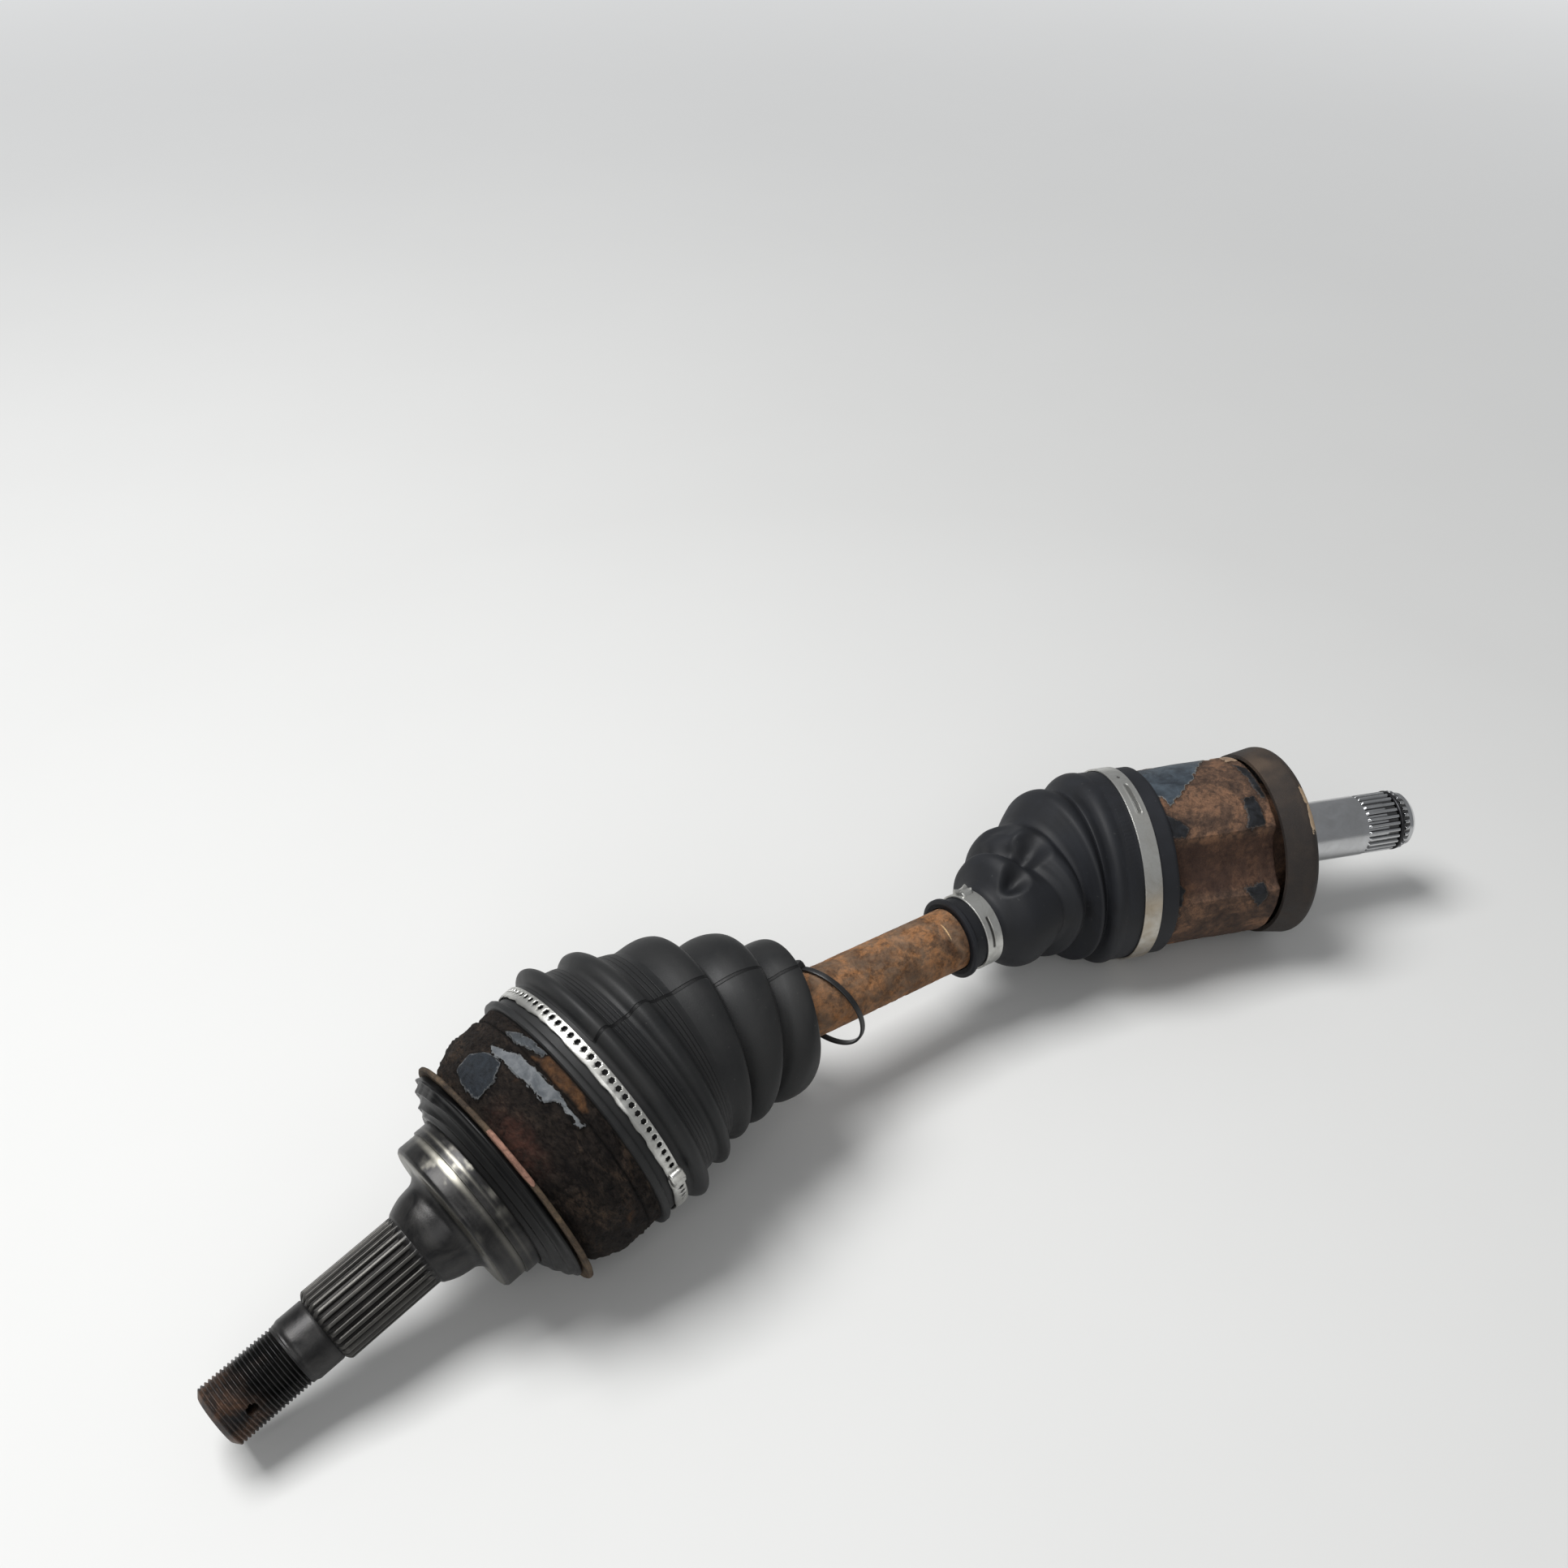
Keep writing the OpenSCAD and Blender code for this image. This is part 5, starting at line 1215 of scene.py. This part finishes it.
class AxleSizes(bpy.types.PropertyGroup):
    """Sizes of the details that are only in the looks."""
    thread_pitch: bpy.props.FloatProperty(name="Thread pitch", description="Distance between two threads",
                                          default=0.0015, unit="LENGTH")
    thread_depth: bpy.props.FloatProperty(name="Thread depth", description="Height of a thread",
                                          default=0.0009, unit="LENGTH")
    cotter_angle: bpy.props.FloatProperty(name="Cotter hole angle",
                                          description="Place of the hole round the stub", default=243.0)
    hub_teeth: bpy.props.IntProperty(name="Hub spline teeth",
                                     description="Teeth round the hub spline", default=28)
    side_teeth: bpy.props.IntProperty(name="Gearbox spline teeth",
                                      description="Teeth round the stub", default=26)
    band_holes: bpy.props.IntProperty(name="Band holes",
                                      description="Holes round the wheel end band", default=88)
    buckle_angle: bpy.props.FloatProperty(name="Buckle angle",
                                          description="Place of the buckle round the band", default=267.0)
    ear_angle: bpy.props.FloatProperty(name="Ear angle", description="Place of the ear round the small band",
                                       default=153.0)
    rust_relief: bpy.props.FloatProperty(name="Rust relief", description="Height of the rust scale",
                                         default=0.0012, unit="LENGTH")


def colour_property(label, default):
    """Colour property with a name and an sRGB default."""
    return bpy.props.FloatVectorProperty(name=label, description=label + " colour", subtype="COLOR", size=3,
                                         min=0.0, max=1.0, default=shade(*default))


class AxleColours(bpy.types.PropertyGroup):
    """Colours of the finishes."""
    oil_steel: colour_property("Oiled steel", (36, 36, 37))
    worn_steel: colour_property("Worn steel", (62, 61, 60))
    bell_dark: colour_property("Bell scale", (25, 22, 21))
    bell_brown: colour_property("Bell brown", (52, 45, 40))
    bell_bright: colour_property("Bell rust", (86, 71, 59))
    flake_grey: colour_property("Light paint flake", (116, 119, 122))
    flake_blue: colour_property("Dark paint flake", (44, 49, 55))
    flange_salmon: colour_property("Flange rust", (158, 120, 104))
    boot_rubber: colour_property("Boot rubber", (27, 28, 29))
    boot_dust: colour_property("Boot dust", (38, 38, 38))
    gear_rubber: colour_property("Gearbox boot rubber", (20, 21, 24))
    band_steel: colour_property("Band steel", (204, 204, 200))
    bright_steel: colour_property("Ground steel", (200, 201, 203))
    bar_dark: colour_property("Bar scale", (78, 57, 43))
    bar_brown: colour_property("Bar brown", (126, 90, 60))
    bar_bright: colour_property("Bar rust", (162, 112, 71))
    bar_grey: colour_property("Bar mottle", (132, 112, 94))
    house_dark: colour_property("Housing scale", (62, 50, 44))
    house_brown: colour_property("Housing brown", (102, 79, 64))
    house_bright: colour_property("Housing rust", (134, 100, 77))
    cover_dark: colour_property("Cover", (46, 42, 40))


FINISHES = {}


def finishes(context):
    """The axle's materials, built once."""
    if not FINISHES:
        FINISHES.update(build_finishes(context.scene.axle_colours))
    return FINISHES


def seated(x, y, z, place):
    """Matrix of an object with the given axes and place."""
    return Matrix([[x[k], y[k], z[k], place[k]] for k in range(3)] + [[0, 0, 0, 1]])


class AXLE_OT_stub(bpy.types.Operator):
    """Thread, hub spline and collar of the stub axle"""
    bl_idname = "axle.stub"
    bl_label = "Stub axle"

    def execute(self, context):
        s, oiled = context.scene.axle_sizes, finishes(context)["oiled"]
        for make in (thread_piece, hub_spline_piece, collar_piece):
            dressed(make(s), oiled, "bell", "dark_steel", "outer_stub_axle")
        return {"FINISHED"}


class AXLE_OT_bell(bpy.types.Operator):
    """Bell shell, dust flange and seal ring"""
    bl_idname = "axle.bell"
    bl_label = "Bell"

    def execute(self, context):
        s, f = context.scene.axle_sizes, finishes(context)
        dressed(bell_piece(s), f["bell"], "bell", "rusty_forging", "outer_joint_bell")
        dressed(flange_piece(s), f["flange"], "bell", "rusty_sheet", "outer_dust_flange")
        dressed(seal_piece(s), f["seal"], "bell", "rubber", "outer_seal_ring")
        return {"FINISHED"}


class AXLE_OT_wheel_boot(bpy.types.Operator):
    """Wheel end boot in four rings, shaped to the ball joint's bend, and its perforated band"""
    bl_idname = "axle.wheel_boot"
    bl_label = "Wheel end boot"

    def execute(self, context):
        s, f = context.scene.axle_sizes, finishes(context)
        for piece, (near, far, *stations) in zip(wheel_boot_pieces(s), WHEEL_BOOT_CHAIN):
            piece.data.materials.append(f["boot"])
            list(blend_line(WHEEL_JOINT, 1, wheel_bend, wheel_lean, *stations))
            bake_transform(piece)
            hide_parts("outer_boot")
        dressed(perforated_band(s), f["band"], "bell", "band_steel", "outer_boot_band")
        dressed(buckle_piece(s), f["band"], "bell", "band_steel", "outer_boot_band")
        return {"FINISHED"}


class AXLE_OT_shaft(bpy.types.Operator):
    """Rusted bar and the loose tie on it"""
    bl_idname = "axle.shaft"
    bl_label = "Shaft and tie"

    def execute(self, context):
        s, f = context.scene.axle_sizes, finishes(context)
        dressed(shaft_piece(s), f["bar"], "shaft", "rusty_bar", "shaft")
        for piece in tie_pieces(s):
            dressed(piece, f["tie"], "shaft", "black_plastic", "boot_tie")
        return {"FINISHED"}


class AXLE_OT_gear_boot(bpy.types.Operator):
    """Gearbox end boot in three rings, shaped to the tripod joint's bend, and its two bands"""
    bl_idname = "axle.gear_boot"
    bl_label = "Gearbox end boot"

    def execute(self, context):
        s, f = context.scene.axle_sizes, finishes(context)
        for piece, (near, far, *stations) in zip(gear_boot_pieces(s), GEAR_BOOT_CHAIN):
            piece.data.materials.append(f["gear_boot"])
            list(blend_line(GEARBOX_JOINT, -1, gear_bend, gear_lean, *stations))
            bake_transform(piece)
            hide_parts("inner_boot")
        dressed(large_band_piece(s), f["band"], "housing", "band_steel", "inner_boot_large_band")
        for piece in small_band_pieces(s):
            dressed(piece, f["band"], "shaft", "band_steel", "inner_boot_small_band")
        return {"FINISHED"}


class AXLE_OT_housing(bpy.types.Operator):
    """Lobed housing, dust cover, journal and gearbox spline"""
    bl_idname = "axle.housing"
    bl_label = "Gearbox end housing"

    def execute(self, context):
        s, f = context.scene.axle_sizes, finishes(context)
        dressed(housing_piece(s), f["housing"], "housing", "rusty_forging", "inner_joint_housing")
        dressed(journal_piece(s), f["journal"], "housing", "rusty_forging", "inner_joint_housing")
        dressed(side_spline_piece(s), f["journal"], "housing", "rusty_forging", "inner_joint_housing")
        dressed(cover_piece(s), f["cover"], "housing", "dark_sheet", "inner_dust_cover")
        return {"FINISHED"}


class AXLE_OT_joint_insides(bpy.types.Operator):
    """Finishes of the solids that stay: race, cage, balls, spider, rings, rollers and circlips"""
    bl_idname = "axle.joint_insides"
    bl_label = "Joint insides"

    def execute(self, context):
        f = finishes(context)
        for name, obj in frame["nodes"].items():
            if name.startswith(("outer_inner_race", "outer_cage", "outer_ball",
                                "inner_spider", "inner_ring", "inner_roller")):
                obj.data.materials.clear()
                obj.data.materials.append(f["bearing"])
            elif name.endswith("circlip"):
                obj.data.materials.clear()
                obj.data.materials.append(f["wire"])
        return {"FINISHED"}


class AXLE_OT_stage(bpy.types.Operator):
    """Pale floor, soft light and the camera"""
    bl_idname = "axle.stage"
    bl_label = "Stage"

    def execute(self, context):
        scene = context.scene
        scene.view_settings.view_transform = "Standard"
        edge = np.array([[-4, -4, 0], [4, -4, 0], [4, 6, 0], [-4, 6, 0]], float)
        mesh = bpy.data.meshes.new("floor")
        mesh.from_pydata(edge.tolist(), [], [[0, 1, 2, 3]])
        floor = bpy.data.objects.new("floor", mesh)
        scene.collection.objects.link(floor)
        f = Finish("Pale floor", roughness=0.6, specular=0.3)
        cloud = f.t.noise(f.t.place(), 3.0)
        f.set("Base Color", f.t.mix(cloud, rgba((0.62, 0.62, 0.61)), rgba((0.66, 0.66, 0.65))))
        away = f.t.add("ShaderNodeVectorMath", {0: f.t.place()}, operation="LENGTH").outputs["Value"]
        camera_ray = f.t.add("ShaderNodeLightPath").outputs["Is Camera Ray"]
        f.shader.inputs["Emission Color"].default_value = (0.98, 0.99, 1.0, 1.0)
        f.set("Emission Strength", f.t.math("MULTIPLY", f.t.ramp(away, 0.5, 2.4, 0.0, 0.5), camera_ray))
        mesh.materials.append(f.material)

        world = bpy.data.worlds.new("Soft room")
        world.use_nodes = True
        background = world.node_tree.nodes["Background"]
        background.inputs["Color"].default_value = (0.96, 0.98, 1.0, 1.0)
        sky = Tree(world.node_tree)
        camera_ray = sky.add("ShaderNodeLightPath").outputs["Is Camera Ray"]
        sky.tree.links.new(sky.ramp(camera_ray, 0, 1, 0.3, 0.8), background.inputs["Strength"])
        scene.world = world
        for name, place, aim, size, power in (
                ("Overhead panel", (-0.45, 0.4, 1.4), (0.0, 0.0, 0.0), 0.7, 24.0),
                ("Front panel", (-0.9, -1.1, 1.2), (0.0, 0.0, 0.05), 1.0, 7.0)):
            lamp = bpy.data.lights.new(name, "AREA")
            lamp.size = size
            lamp.energy = power
            obj = bpy.data.objects.new(name, lamp)
            back = unit(np.array(place) - np.array(aim))
            right = unit(np.cross([0, 1, 0.01], back))
            obj.matrix_world = seated(right, np.cross(back, right), back, place)
            scene.collection.objects.link(obj)

        yaw, pitch, roll = np.radians([55.41, -38.46, -0.29])
        ahead = np.array([np.cos(pitch) * np.cos(yaw), np.cos(pitch) * np.sin(yaw), np.sin(pitch)])
        right = unit(np.cross(ahead, [0, 0, 1]))
        below = np.cross(ahead, right)
        right, below = (np.cos(roll) * right + np.sin(roll) * below,
                        np.cos(roll) * below - np.sin(roll) * right)
        place = np.array([WHEEL_CENTRE[0] - 150.7, WHEEL_CENTRE[1] - 355.2, 512.1]) * MM
        camera = bpy.data.cameras.new("Photo camera")
        camera.sensor_width = 36.0
        camera.lens = 36.02
        camera.clip_start = 0.01
        obj = bpy.data.objects.new("Photo camera", camera)
        obj.matrix_world = seated(right, -below, -ahead, place)
        scene.collection.objects.link(obj)
        scene.camera = obj
        return {"FINISHED"}


OPERATORS = (AXLE_OT_stage, AXLE_OT_stub, AXLE_OT_bell, AXLE_OT_wheel_boot, AXLE_OT_shaft, AXLE_OT_gear_boot,
             AXLE_OT_housing, AXLE_OT_joint_insides)


class AXLE_PT_panel(bpy.types.Panel):
    """Sizes, colours and steps of the axle"""
    bl_idname = "AXLE_PT_panel"
    bl_label = "Worn drive axle"
    bl_space_type = "VIEW_3D"
    bl_region_type = "UI"
    bl_category = "Axle"

    def draw(self, context):
        for group in (context.scene.axle_sizes, context.scene.axle_colours):
            for key in group.bl_rna.properties.keys():
                if key not in {"rna_type", "name"}:
                    self.layout.prop(group, key)
        for operator in OPERATORS:
            self.layout.operator(operator.bl_idname)


CLASSES = (AxleSizes, AxleColours, *OPERATORS, AXLE_PT_panel)


def register():
    """Registers the classes and hangs the property groups on the scene."""
    for cls in CLASSES:
        bpy.utils.register_class(cls)
    bpy.types.Scene.axle_sizes = bpy.props.PointerProperty(type=AxleSizes)
    bpy.types.Scene.axle_colours = bpy.props.PointerProperty(type=AxleColours)


def unregister():
    """Takes the property groups and classes away again."""
    del bpy.types.Scene.axle_colours
    del bpy.types.Scene.axle_sizes
    for cls in reversed(CLASSES):
        bpy.utils.unregister_class(cls)


def main():
    """Builds every piece through its operator."""
    register()
    bpy.ops.axle.stage()
    bpy.ops.axle.stub()
    bpy.ops.axle.bell()
    bpy.ops.axle.wheel_boot()
    bpy.ops.axle.shaft()
    bpy.ops.axle.gear_boot()
    bpy.ops.axle.housing()
    bpy.ops.axle.joint_insides()


if __name__ == "__main__":
    main()
